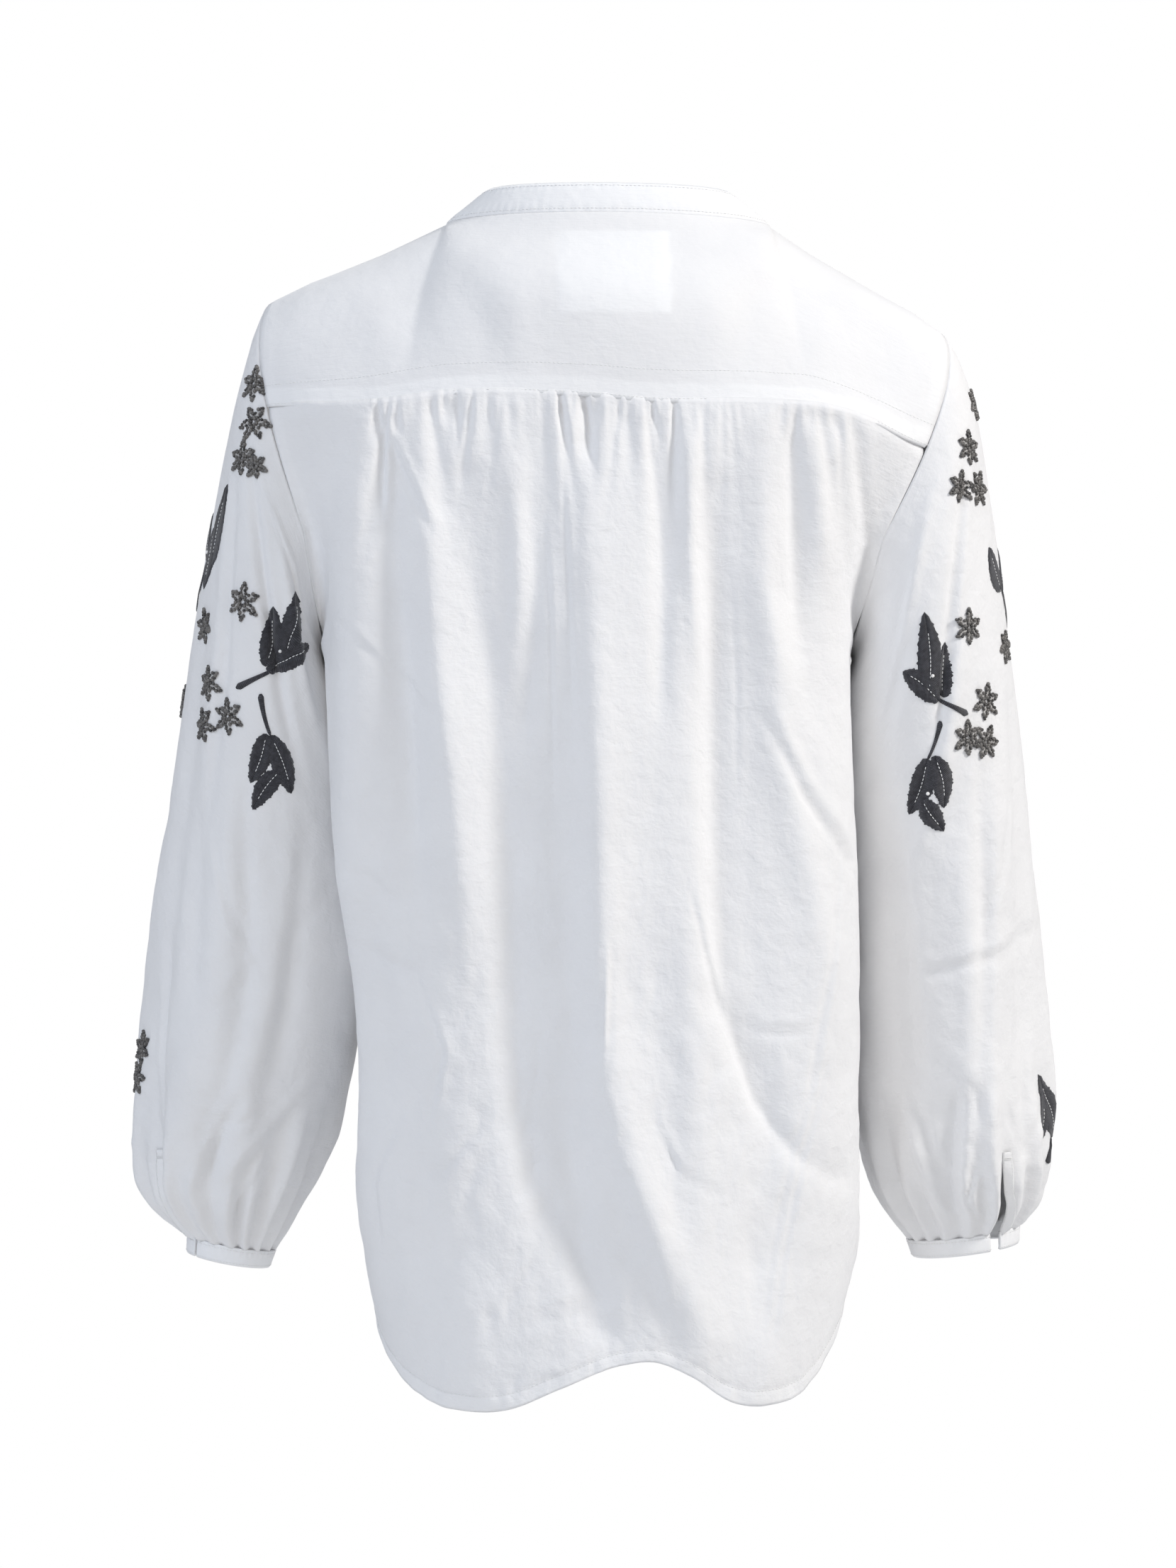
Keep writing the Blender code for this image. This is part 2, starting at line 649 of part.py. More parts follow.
def build_sleeve(name, table, ring, folds, slit, finish, placket_name, placket_finish):
    alongs = np.array([0, 0.04, 0.09, 0.15, 0.22, 0.30, 0.39, 0.48, 0.57, 0.66, 0.75, 0.83, 0.90, 0.95, 0.98, 1.0])
    rows, normals = sleeve_grid(table, ring, folds, slit, alongs)
    ids = np.arange(rows.shape[0] * rows.shape[1]).reshape(rows.shape[:2])
    closed = len(alongs) - SLIT_ROWS
    ids[:closed, -1] = ids[:closed, 0]
    apart = unit(np.cross(normals[:, 0], np.gradient(rows[:, 0], axis=0)))
    if np.sum((rows[:, 1] - rows[:, 0]) * apart) < 0:
        apart = -apart
    apart[-1] = across_axis(apart[-1], cuff_axis(table))
    for i in range(closed, len(alongs)):
        spread = 0.4 + slit[1] / 2 * (i - closed + 1) / SLIT_ROWS
        rows[i, 0] += apart[i] * spread
        rows[i, -1] -= apart[i] * spread
    wall(name, rows, normals, WALL, finish, ids)
    build_placket(placket_name, rows, normals, closed, placket_finish)


def build_placket(name, rows, normals, closed, finish):
    """A strip laid on the sleeve along the outer side of its slit."""
    edge = rows[closed - 1 :, -1].copy()
    next_column = rows[closed - 1 :, -2].copy()
    edge[-1] += 0.3 * (edge[-2] - edge[-1])
    next_column[-1] += 0.3 * (next_column[-2] - next_column[-1])
    across = unit(next_column - edge)
    start = edge + across * 0.4
    width = np.minimum(PLACKET_WIDTH, 0.9 * np.linalg.norm(next_column - edge, axis=1))[:, None]
    out = unit(np.cross(across, np.gradient(edge, axis=0)))
    if np.sum(out * normals[closed - 1 :, -1]) < 0:
        out = -out
    strip_normals = np.stack([out, out], 1)
    strip = np.stack([start, start + across * (width - 0.4)], 1) + strip_normals * 1.5
    wall(name, strip, strip_normals, 1.0, finish)


def build_cuff(name, table, slit, finish):
    """A narrow bound ring below the sleeve's last row, open at the slit."""
    left = math.copysign(1, table[0][1])
    outer = np.array([table[-1][1], table[-1][2]], float)
    inner = np.array([table[-1][3], table[-1][4]], float)
    down = cuff_axis(table)
    gap = (slit[1] / 2 + 0.5) / table[-1][6]
    turns = np.linspace(math.radians(slit[0]) + gap, math.radians(slit[0]) + 2 * math.pi - gap, 37)
    rows = []
    for share in (0, 0.5, 1):
        shrink = 1 - 0.05 * share
        centre = (outer + inner) / 2 + down[[0, 2]] * (SEAM_GAP + 0.1 + CUFF_HEIGHT * share)
        half = (outer - inner) / 2 * shrink
        rows.append(
            np.stack(
                [
                    centre[0] + half[0] * np.cos(turns) + left * 0.35,
                    table[-1][5] + table[-1][6] * shrink * np.sin(turns),
                    centre[1] + half[1] * np.cos(turns),
                ],
                1,
            )
        )
    rows = np.array(rows)
    normals = grid_normals(rows, rows - rows.mean(axis=(0, 1)))
    normals = across_axis(normals, down)
    wall(name, rows + normals * 0.5, normals, BAND_WALL, finish)


def build_label(yoke_rows, yoke_normals, finish):
    """A blank rectangle on the inner side of the yoke, laid on the yoke's own points."""
    rows = []
    row_normals = []
    for z in np.linspace(LABEL_TOP, LABEL_BOTTOM, 6):
        line = []
        line_normals = []
        for x in np.linspace(LABEL_LEFT, LABEL_RIGHT, 7):
            place, normal = on_yoke(yoke_rows, yoke_normals, x, z)
            line.append(place - normal * (WALL + 3 * SEAM_GAP))
            line_normals.append(normal)
        rows.append(line)
        row_normals.append(line_normals)
    wall("neck_label", np.array(rows), np.array(row_normals), LABEL_THICKNESS, finish)


def on_yoke(rows, normals, x, z):
    """The place on the yoke behind a given x and z, between its grid's points."""
    best = None
    for i in range(len(rows) - 1):
        for j in range(len(rows[0]) - 1):
            corner = rows[i, j]
            across = rows[i, j + 1] - corner
            down = rows[i + 1, j] - corner
            system = np.array([[across[0], down[0]], [across[2], down[2]]])
            if abs(np.linalg.det(system)) < 1e-6:
                continue
            share = np.linalg.solve(system, [x - corner[0], z - corner[2]])
            miss = np.abs(share - 0.5).max()
            if best is None or miss < best[0]:
                place = corner + across * share[0] + down * share[1]
                best = (miss, place, unit(normals[i, j] + normals[i + 1, j + 1]))
    return best[1], best[2]


for old in list(bpy.data.objects):
    bpy.data.objects.remove(old, do_unlink=True)
GARMENT = bpy.data.collections.new("embroidered_blouse")
bpy.context.scene.collection.children.link(GARMENT)

cotton = material("white_cotton", (0.84, 0.85, 0.88), 0.9)
band_cotton = material("band_cotton", (0.88, 0.88, 0.90), 0.9)
label_cloth = material("label_cloth", (0.80, 0.80, 0.82), 0.8)

yoke_rows, yoke_normals = build_yoke(cotton)
build_back(cotton)
build_front(cotton)
build_neckband(band_cotton)
build_sleeve(
    "sleeve_left", LEFT_SLEEVE, LEFT_ARMHOLE, LEFT_SLEEVE_FOLDS, LEFT_SLIT, cotton, "placket_left", band_cotton
)
build_sleeve(
    "sleeve_right", RIGHT_SLEEVE, RIGHT_ARMHOLE, RIGHT_SLEEVE_FOLDS, RIGHT_SLIT, cotton, "placket_right", band_cotton
)
build_cuff("cuff_left", LEFT_SLEEVE, LEFT_SLIT, band_cotton)
build_cuff("cuff_right", RIGHT_SLEEVE, RIGHT_SLIT, band_cotton)
build_label(yoke_rows, yoke_normals, label_cloth)
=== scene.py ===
# Embroidered cotton blouse in its worn form: cloth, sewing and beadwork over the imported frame.
# Sizes are in millimetres; the front faces -Y and the wearer's left is +X.
import math

import bpy
import numpy as np
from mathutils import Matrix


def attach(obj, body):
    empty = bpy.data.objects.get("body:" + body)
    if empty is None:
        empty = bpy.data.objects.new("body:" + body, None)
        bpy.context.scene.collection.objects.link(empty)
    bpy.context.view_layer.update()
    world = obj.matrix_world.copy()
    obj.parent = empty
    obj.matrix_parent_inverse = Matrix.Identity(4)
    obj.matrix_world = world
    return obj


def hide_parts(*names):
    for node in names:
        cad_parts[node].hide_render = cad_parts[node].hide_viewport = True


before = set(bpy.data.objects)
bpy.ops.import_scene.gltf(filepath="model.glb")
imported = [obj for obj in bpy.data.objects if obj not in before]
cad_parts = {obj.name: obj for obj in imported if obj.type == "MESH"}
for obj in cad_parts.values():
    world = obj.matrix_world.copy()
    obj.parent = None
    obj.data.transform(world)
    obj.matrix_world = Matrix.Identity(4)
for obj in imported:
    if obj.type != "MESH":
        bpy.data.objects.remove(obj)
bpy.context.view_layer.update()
mm = 0.001
print("frame loaded")

# camera, light and floor
view = {"across": 10.1, "away": 2500.0, "height": -356.0, "frameHeight": 995.4, "sensor": 24.0}
lights = {
    # place and size in metres, power in watts, colour
    "keyWindow": ((-2.6, 1.1, 1.6), 0.7, 74.0, (1.0, 0.975, 0.945)),
    "skyFill": ((2.3, 2.1, 0.9), 2.0, 24.0, (0.64, 0.78, 1.0)),
    "roomFill": ((0.9, 3.0, 1.3), 2.4, 22.0, (1.0, 0.985, 0.975)),
    "frontFill": ((0.2, -2.4, 0.6), 2.4, 8.0, (1.0, 1.0, 1.0)),
}
surround = {"seen": 1.0, "reach": 0.6, "below": (0.235, 0.218, 0.21), "above": (0.45, 0.465, 0.49)}
floor = {"height": -1400.0, "radius": 2300.0}


def placeCamera(v):
    lens = bpy.data.cameras.new("backView")
    lens.sensor_fit = "VERTICAL"
    lens.sensor_height = v["sensor"]
    lens.lens = v["sensor"] * v["away"] / v["frameHeight"]
    eye = bpy.data.objects.new("backView", lens)
    eye.location = (v["across"] * mm, v["away"] * mm, v["height"] * mm)
    eye.rotation_euler = (math.pi / 2, 0, math.pi)
    bpy.context.scene.collection.objects.link(eye)
    bpy.context.scene.camera = eye


def placeLights(rig):
    from mathutils import Vector
    for name, (place, size, power, colour) in rig.items():
        lamp = bpy.data.lights.new(name, "AREA")
        lamp.shape = "DISK"
        lamp.size = size
        lamp.energy = power
        lamp.color = colour
        held = bpy.data.objects.new(name, lamp)
        held.location = place
        held.rotation_euler = (Vector((0, 0, -0.36)) - Vector(place)).to_track_quat("-Z", "Y").to_euler()
        bpy.context.scene.collection.objects.link(held)


def addNode(tree, kind, inputs={}, **settings):
    # each input, by name or number, is given a value or linked to another node's output
    node = tree.nodes.new(kind)
    for name, value in settings.items():
        setattr(node, name, value)
    for socket, value in inputs.items():
        if isinstance(value, bpy.types.NodeSocket):
            tree.links.new(value, node.inputs[socket])
        else:
            node.inputs[socket].default_value = value
    return node


def mixColour(tree, factor, first, second):
    first, second = (c if isinstance(c, bpy.types.NodeSocket) else (*c, 1) for c in (first, second))
    return addNode(tree, "ShaderNodeMix", {0: factor, 6: first, 7: second}, data_type="RGBA").outputs[2]


def addRange(tree, value, low, high):
    inputs = {"Value": value, "From Min": low, "From Max": high}
    return addNode(tree, "ShaderNodeMapRange", inputs).outputs["Result"]


def makeSurround(s):
    # white to the camera; a dull gradient from below to above lights the cloth
    world = bpy.data.worlds.new("paleSurround")
    world.use_nodes = True
    tree = world.node_tree
    tree.nodes.clear()
    ways = addNode(tree, "ShaderNodeTexCoord")
    parts = addNode(tree, "ShaderNodeSeparateXYZ", {"Vector": ways.outputs["Generated"]})
    height = addRange(tree, parts.outputs["Z"], -s["reach"], s["reach"])
    lit = addNode(tree, "ShaderNodeBackground", {"Color": mixColour(tree, height, s["below"], s["above"])})
    seen = addNode(tree, "ShaderNodeBackground", {"Color": (1, 1, 1, 1), "Strength": s["seen"]})
    path = addNode(tree, "ShaderNodeLightPath")
    parted = {0: path.outputs["Is Camera Ray"], 1: lit.outputs[0], 2: seen.outputs[0]}
    mix = addNode(tree, "ShaderNodeMixShader", parted)
    addNode(tree, "ShaderNodeOutputWorld", {"Surface": mix.outputs[0]})
    bpy.context.scene.world = world


bpy.context.scene.view_settings.view_transform = "Standard"
placeCamera(view)
placeLights(lights)
makeSurround(surround)
print("camera and light placed")

# the cut, as in the frame
neck = {"middle": -3.0, "halfWidth": 103.0, "back": 58.0, "front": 78.0, "frontDrop": 28.0}
cloth = {"thickness": 0.6, "squareness": 2.35}
gathers = {"count": 36, "from": 0.16, "to": 0.86}

leftShoulder = [(207, -50), (185, -38), (140, -20), (100, -1)]
rightShoulder = [(-209, -69), (-193, -56), (-162, -38), (-131, -20), (-106, -3)]
# top x, top z, underarm x, underarm z, depth to the back, depth to the front, outward bow
leftArmhole = (207, -50, 175, -275, 60, 64, 14)
rightArmhole = (-209, -69, -155, -270, 60, 64, 15)
# z, left x, right x, depth of the back, depth of the front
bodyRows = [
    (-130, 210, -206, 104, 106), (-275, 175, -155, 112, 122), (-340, 170, -156, 113, 122),
    (-400, 164, -159, 112, 119), (-475, 155, -161, 112, 116), (-540, 152, -161, 113, 115),
    (-605, 156, -161, 115, 115), (-650, 152, -161, 117, 116), (-690, 144, -150, 118, 117),
    (-740, 128, -138, 119, 118),
]
yokeSeam = [
    (212, -122), (135, -123), (100, -119), (66, -118), (32, -119), (0, -121), (-20, -123),
    (-99, -124), (-141, -127), (-168, -135), (-188, -144), (-206, -150),
]
backHem = [
    (144, -690), (132, -714), (110, -732), (82, -738), (60, -736), (26, -722), (-10, -708),
    (-30, -706), (-52, -715), (-78, -732), (-100, -735), (-122, -728), (-140, -706), (-150, -688),
]
frontHem = [(144, -690), (128, -706), (90, -716), (0, -718), (-90, -716), (-132, -706), (-150, -688)]


def smooth(keys, values, at):
    keys = np.asarray(keys, float)
    values = np.asarray(values, float)
    at = np.clip(np.asarray(at, float), keys[0], keys[-1])
    slopes = np.gradient(values, keys, axis=0)
    row = np.clip(np.searchsorted(keys, at, side="right") - 1, 0, len(keys) - 2)
    span = keys[row + 1] - keys[row]
    part = (at - keys[row]) / span
    shape = part.shape + (1,) * (values.ndim - 1)
    part, span = part.reshape(shape), span.reshape(shape)
    return (
        (2 * part**3 - 3 * part**2 + 1) * values[row]
        + (part**3 - 2 * part**2 + part) * span * slopes[row]
        + (3 * part**2 - 2 * part**3) * values[row + 1]
        + (part**3 - part**2) * span * slopes[row + 1]
    )


def column(table, which):
    return [row[which] for row in table]


def byFalling(table, which, at):
    return smooth([-row[0] for row in table], column(table, which), -np.asarray(at, float))


def clamp(value):
    return np.clip(value, 0, 1)


def hump(offset, width):
    return np.exp(-((offset / width) ** 2))


def unit(vectors):
    return vectors / np.maximum(np.linalg.norm(vectors, axis=-1, keepdims=True), 1e-9)


def even(points, shares):
    steps = np.linalg.norm(np.diff(points, axis=0), axis=1)
    run = np.concatenate([[0], np.cumsum(steps)])
    run /= run[-1]
    return np.stack([np.interp(shares, run, points[:, axis]) for axis in range(3)], 1)


def armhole(ring, turn):
    topX, topZ, lowX, lowZ, back, front, bow = ring
    turn = np.asarray(turn, float)
    reach = np.where(np.sin(turn) > 0, back, front)
    share = (1 - np.cos(turn)) / 2
    away = np.abs(np.arctan2(np.sin(turn), np.cos(turn)))
    bulge = bow * np.where(away < 1.9, np.sin(math.pi * np.clip(away, 0, 1.9) / 1.9), 0)
    return np.stack(
        [
            topX + (lowX - topX) * share + math.copysign(1, topX) * bulge,
            reach * np.sin(turn),
            topZ + (lowZ - topZ) * share,
        ],
        -1,
    )


def edgePoint(left, side, z):
    ring = leftArmhole if left else rightArmhole
    z = np.asarray(z, float)
    share = clamp((ring[1] - z) / (ring[1] - ring[3]))
    onRing = armhole(ring, side * np.arccos(1 - 2 * share))
    onSeam = np.stack([byFalling(bodyRows, 1 if left else 2, z), 0 * z, z], -1)
    return np.where((z > ring[3])[..., None], onRing, onSeam)


def bodyRow(side, leftZ, rightZ, heights, shares):
    left = edgePoint(True, side, leftZ)
    right = edgePoint(False, side, rightZ)
    depth = byFalling(bodyRows, 3 if side > 0 else 4, (leftZ + rightZ) / 2)
    start = math.asin((((abs(left[1]) + abs(right[1])) / 2) / depth) ** (cloth["squareness"] / 2))
    turn = np.linspace(start, math.pi - start, 361)
    across = np.sign(np.cos(turn)) * np.abs(np.cos(turn)) ** (2 / cloth["squareness"])
    across /= across[0]
    x = (left[0] + right[0]) / 2 + (left[0] - right[0]) / 2 * across
    uneven = (abs(left[1]) - abs(right[1])) / 2 * across
    y = side * (depth * np.sin(turn) ** (2 / cloth["squareness"]) + uneven)
    z = (leftZ + rightZ) / 2 + (leftZ - rightZ) / 2 * across if heights is None else byFalling(heights, 1, x)
    return even(np.stack([x, y, z], 1), shares)


def neckLine(side, shares):
    turn = math.pi * np.asarray(shares, float)
    reach = neck["back"] if side > 0 else neck["front"]
    drop = 0 if side > 0 else neck["frontDrop"]
    level = smooth([0, 1], [leftShoulder[-1][1], rightShoulder[-1][1]], shares)
    return np.stack(
        [
            neck["middle"] + neck["halfWidth"] * np.cos(turn),
            side * reach * np.sin(turn),
            level - drop * np.sin(turn) ** 2 + (1 if side > 0 else 0) * np.sin(turn),
        ],
        1,
    )


def topLine(side, shoulderColumns, neckColumns):
    left = np.array([(x, 0, z) for x, z in leftShoulder], float)
    right = np.array([(x, 0, z) for x, z in rightShoulder[::-1]], float)
    steps = np.linspace(0, 1, shoulderColumns + 1)
    middle = neckLine(side, np.linspace(0, 1, neckColumns + 1))
    return np.concatenate([even(left, steps)[:-1], middle, even(right, steps)[1:]])


def rollLine(top, side, reach, drop, neckReach, neckDrop):
    atNeck = clamp(np.abs(top[:, 1]) / neck["back"])
    moved = top.copy()
    moved[:, 1] += side * (reach * (1 - atNeck) + neckReach * atNeck)
    moved[:, 2] -= drop * (1 - atNeck) + neckDrop * atNeck
    return moved


def followEdges(rows, side, reach):
    share = np.linspace(0, 1, len(rows[0]))[:, None]
    for row in rows:
        left = edgePoint(True, side, row[0, 2]) - row[0]
        right = edgePoint(False, side, row[-1, 2]) - row[-1]
        row += clamp(1 - share / reach) ** 2 * left
        row += clamp(1 - (1 - share) / reach) ** 2 * right


def gridNormals(grid, towards, passes=1):
    normals = unit(np.cross(np.gradient(grid, axis=1), np.gradient(grid, axis=0)))
    if np.sum(normals * towards) < 0:
        normals = -normals
    for _ in range(passes):
        evened = normals.copy()
        evened[1:-1] += 0.5 * (normals[:-2] + normals[2:])
        evened[:, 1:-1] += 0.5 * (evened[:, :-2] + evened[:, 2:])
        normals = unit(evened)
    return normals


def foldField(folds, first, second):
    # start, start, end, end, half width, depth outwards
    total = np.zeros(np.broadcast(first, second).shape)
    for startA, startB, endA, endB, halfWidth, depth in folds:
        runA, runB = endA - startA, endB - startB
        length = math.hypot(runA, runB)
        along = ((first - startA) * runA + (second - startB) * runB) / length**2
        off = ((first - startA) * runB - (second - startB) * runA) / length
        fade = clamp(np.sin(math.pi * clamp(along))) ** 0.6
        total += depth * fade * hump(off, halfWidth)
    return total


def creaseField(creases, first, second):
    # each crease: half width, depth, how far its lip stands beside it, and the line that it follows
    total = np.zeros(np.broadcast(first, second).shape)
    for halfWidth, depth, lip, path in creases:
        runs = [math.dist(path[k], path[k + 1]) for k in range(len(path) - 1)]
        nearest = np.full(total.shape, 1e9)
        signed = np.zeros(total.shape)
        along = np.zeros(total.shape)
        done = 0
        for k, run in enumerate(runs):
            (a, b), (c, d) = path[k], path[k + 1]
            share = clamp(((first - a) * (c - a) + (second - b) * (d - b)) / run**2)
            toA, toB = first - a - share * (c - a), second - b - share * (d - b)
            distance = np.hypot(toA, toB)
            closer = distance < nearest
            nearest = np.where(closer, distance, nearest)
            signed = np.where(closer, np.sign(toA * (d - b) - toB * (c - a)) * distance, signed)
            along = np.where(closer, (done + share * run) / sum(runs), along)
            done += run
        fade = np.sin(math.pi * np.clip(along, 0.02, 0.98)) ** 0.5
        line = hump(nearest, halfWidth)
        beside = hump(signed - 1.8 * halfWidth, 1.2 * halfWidth)
        total += depth * fade * (line - lip * beside)
    return total


def rippled(first, second, cell, seed, around=128):
    # even noise with one hump or dip to a cell; around is the number of cells before it repeats
    angles = np.random.default_rng(seed).uniform(0, 2 * math.pi, (128, 128))
    u, v = np.broadcast_arrays(first / cell, second / cell)
    i, j = np.floor(u).astype(int), np.floor(v).astype(int)
    u, v = u - i, v - j

    def corner(stepI, stepJ):
        angle = angles[(i + stepI) % around, (j + stepJ) % 128]
        return np.cos(angle) * (u - stepI) + np.sin(angle) * (v - stepJ)

    easeU, easeV = (w**3 * (w * (w * 6 - 15) + 10) for w in (u, v))
    low = corner(0, 0) * (1 - easeU) + corner(1, 0) * easeU
    high = corner(0, 1) * (1 - easeU) + corner(1, 1) * easeU
    return low * (1 - easeV) + high * easeV


def crumple(first, second, seed, coarse=30.0, around=None):
    # washed-cotton crumple: rounded ridges where the ripple changes sign, in two sizes
    total = 0
    for step, (share, height) in enumerate([(1, 1.0), (0.5, 0.45)]):
        cell = coarse * share
        cells = 128 if around is None else round(around / cell)
        if around is not None:
            cell = around / cells
        bend = 0.5 * cell * rippled(first, second * 0.7, cell, seed + 7 + step, cells)
        wave = rippled(first + bend, second * 0.75 + bend, cell, seed + step, cells)
        total = total + height * (0.35 - np.sqrt(wave**2 + 0.025))
    return total


blouse = bpy.data.collections.new("embroideredBlouse")
bpy.context.scene.collection.children.link(blouse)


def link(name, mesh, finish):
    mesh.materials.append(finish)
    piece = bpy.data.objects.new(name, mesh)
    blouse.objects.link(piece)
    return piece


squareCorners = [(0, 0), (1, 0), (1, 1), (0, 1)]


def inSquares(grid, corners, axis):
    rows, columns = grid.shape[:2]
    return np.stack([grid[a : rows - 1 + a, b : columns - 1 + b] for a, b in corners], axis)


def clothPiece(name, grid, normals, finish, cut, ids=None, doubled=None, thickness=None, openColumn=-1):
    # one sheet of grid points with its cut laid out as UV in metres, given its thickness inwards
    rows, columns = grid.shape[:2]
    if ids is None:
        ids = np.arange(rows * columns).reshape(rows, columns)
    used, first, back = np.unique(ids.ravel(), return_index=True, return_inverse=True)
    numbers = back.reshape(rows, columns)
    corners = squareCorners
    kept = np.arange(columns - 1) != openColumn
    quads = inSquares(numbers, corners, -1)[:, kept].reshape(-1, 4)
    points = grid.reshape(-1, 3)[first]
    way = normals.reshape(-1, 3)[first]
    sides = np.cross(points[quads[:, 1]] - points[quads[:, 0]], points[quads[:, 2]] - points[quads[:, 0]])
    if np.sum(sides * way[quads[:, 0]]) < 0:
        quads = quads[:, ::-1]
        corners = corners[::-1]
    mesh = bpy.data.meshes.new(name)
    mesh.from_pydata((points * mm).tolist(), [], quads.tolist())
    u, v = np.meshgrid(np.linspace(0, cut[0], columns), np.linspace(0, cut[1], rows))
    place = np.stack([u, v], -1) * mm
    laid = inSquares(place, corners, -2)[:, kept].reshape(-1)
    mesh.uv_layers.new(name="cut").data.foreach_set("uv", laid.astype(np.float32))
    # share of doubled cloth, which the cotton paints whiter: painted light for less of the shaded inside showing
    # through
    layer = mesh.attributes.new("doubled", "FLOAT", "POINT")
    if doubled is not None:
        spread = np.broadcast_to(doubled, (rows, columns)).reshape(-1)[first]
        layer.data.foreach_set("value", spread.astype(np.float32))
    mesh.shade_smooth()
    piece = link(name, mesh, finish)
    shell = piece.modifiers.new("thickness", "SOLIDIFY")
    shell.thickness = (thickness or cloth["thickness"]) * mm
    shell.offset = -1
    return piece, grid, normals


def relief(place, start, end, soft):
    # 1 between start and end, falling off over soft on both sides
    return clamp((place - start) / soft + 0.5) * clamp((end - place) / soft + 0.5)


def newMaterial(name, colour, roughness, **sockets):
    made = bpy.data.materials.new(name)
    made.use_nodes = True
    tree = made.node_tree
    shader = tree.nodes["Principled BSDF"]
    shader.inputs["Base Color"].default_value = (*colour, 1)
    shader.inputs["Roughness"].default_value = roughness
    for socket, value in sockets.items():
        shader.inputs[socket.replace("_", " ")].default_value = value
    return made, tree, addNode(tree, "ShaderNodeTexCoord").outputs


def dress(tree, colour, normal=None):
    shader = tree.nodes["Principled BSDF"]
    tree.links.new(colour, shader.inputs["Base Color"])
    if normal is not None:
        tree.links.new(normal, shader.inputs["Normal"])


def addBump(tree, height, strength, distance, before=None):
    inputs = {"Strength": strength, "Distance": distance * mm, "Height": height}
    if before is not None:
        inputs["Normal"] = before
    return addNode(tree, "ShaderNodeBump", inputs).outputs["Normal"]


def addNoise(tree, coords, pitch, detail=3.0, rough=0.5, distortion=0.0):
    inputs = {"Scale": 1 / mm / pitch, "Detail": detail, "Roughness": rough, "Distortion": distortion}
    return addNode(tree, "ShaderNodeTexNoise", {**inputs, "Vector": coords}).outputs["Fac"]


def addThreads(tree, coords, pitch, way):
    # a wave texture of scale 1 has a band every pi / 10 of a metre
    inputs = {"Scale": 314.16 / pitch, "Distortion": 0.6, "Vector": coords}
    return addNode(tree, "ShaderNodeTexWave", inputs, wave_type="BANDS", bands_direction=way).outputs["Fac"]


def addMath(tree, work, first, second):
    return addNode(tree, "ShaderNodeMath", {0: first, 1: second}, operation=work).outputs[0]


def attribute(tree, name):
    return addNode(tree, "ShaderNodeAttribute", attribute_name=name).outputs["Fac"]


cottonLook = {
    # the whiter colour for doubled cloth is painted light: two layers let less of the shaded inside show through
    "plain": (0.845, 0.842, 0.845), "shade": (0.824, 0.821, 0.825), "doubled": (0.90, 0.90, 0.902),
    "threadPitch": 0.55, "slubPitch": 2.2, "crinklePitch": 9.0, "cloudPitch": 45.0,
}


def cottonMaterial(name, look, crinkle):
    # soft clouds of shade; whiter where doubled, which is painted light for less of the shaded inside showing
    # through; crinkle, slubs and weave as bump
    made, tree, coords = newMaterial(
        name, look["plain"], 0.88, Sheen_Weight=0.18, Sheen_Roughness=0.45, Specular_IOR_Level=0.25
    )
    cloudy = addRange(tree, addNoise(tree, coords["Object"], look["cloudPitch"], 4.0), 0.38, 0.62)
    colour = mixColour(tree, cloudy, look["shade"], look["plain"])
    colour = mixColour(tree, attribute(tree, "doubled"), colour, look["doubled"])
    warp, weft = (addThreads(tree, coords["UV"], look["threadPitch"], way) for way in "XY")
    creasy = addNoise(tree, coords["Object"], look["crinklePitch"], distortion=0.2)
    longWays = addNode(tree, "ShaderNodeMapping", {"Vector": coords["UV"], "Scale": (0.25, 1.0, 1.0)})
    slub = addNoise(tree, longWays.outputs["Vector"], look["slubPitch"], rough=0.6)
    normal = addBump(tree, creasy, 0.8, crinkle)
    normal = addBump(tree, slub, 0.5, 0.45, normal)
    normal = addBump(tree, addMath(tree, "MAXIMUM", warp, weft), 0.15, 0.08, normal)
    dress(tree, colour, normal)
    return made


def threadMaterial(name, colour, paintedRidgeHighlight, pitch):
    # satin stitch: fine ridges across the motif, from its own UV; the ridges are painted lighter in random
    # patches, a painted highlight along the stitches
    made, tree, coords = newMaterial(name, colour, 0.6, Sheen_Weight=0.3, Specular_IOR_Level=0.4)
    ridges = addThreads(tree, coords["UV"], pitch, "X")
    patchy = addRange(tree, addNoise(tree, coords["Object"], 2.5), 0.35, 0.65)
    lit = addMath(tree, "MULTIPLY", patchy, ridges)
    dress(tree, mixColour(tree, lit, colour, paintedRidgeHighlight), addBump(tree, ridges, 0.7, 0.35))
    return made


def beadMaterial(name, dark, light):
    made, tree, coords = newMaterial(name, dark, 0.28, Specular_IOR_Level=0.5, Coat_Weight=0.3)
    worn = addBump(tree, addNoise(tree, coords["Object"], 0.9), 0.2, 0.1)
    dress(tree, mixColour(tree, attribute(tree, "shade"), dark, light), worn)
    return made


def sewingMaterial(name, colour):
    made, tree, coords = newMaterial(name, colour, 0.55, Sheen_Weight=0.2)
    twist = addNoise(tree, coords["Object"], 0.6, 2.0)
    darker = tuple(0.9 * c for c in colour)
    dress(tree, mixColour(tree, twist, darker, colour), addBump(tree, twist, 0.4, 0.1))
    return made


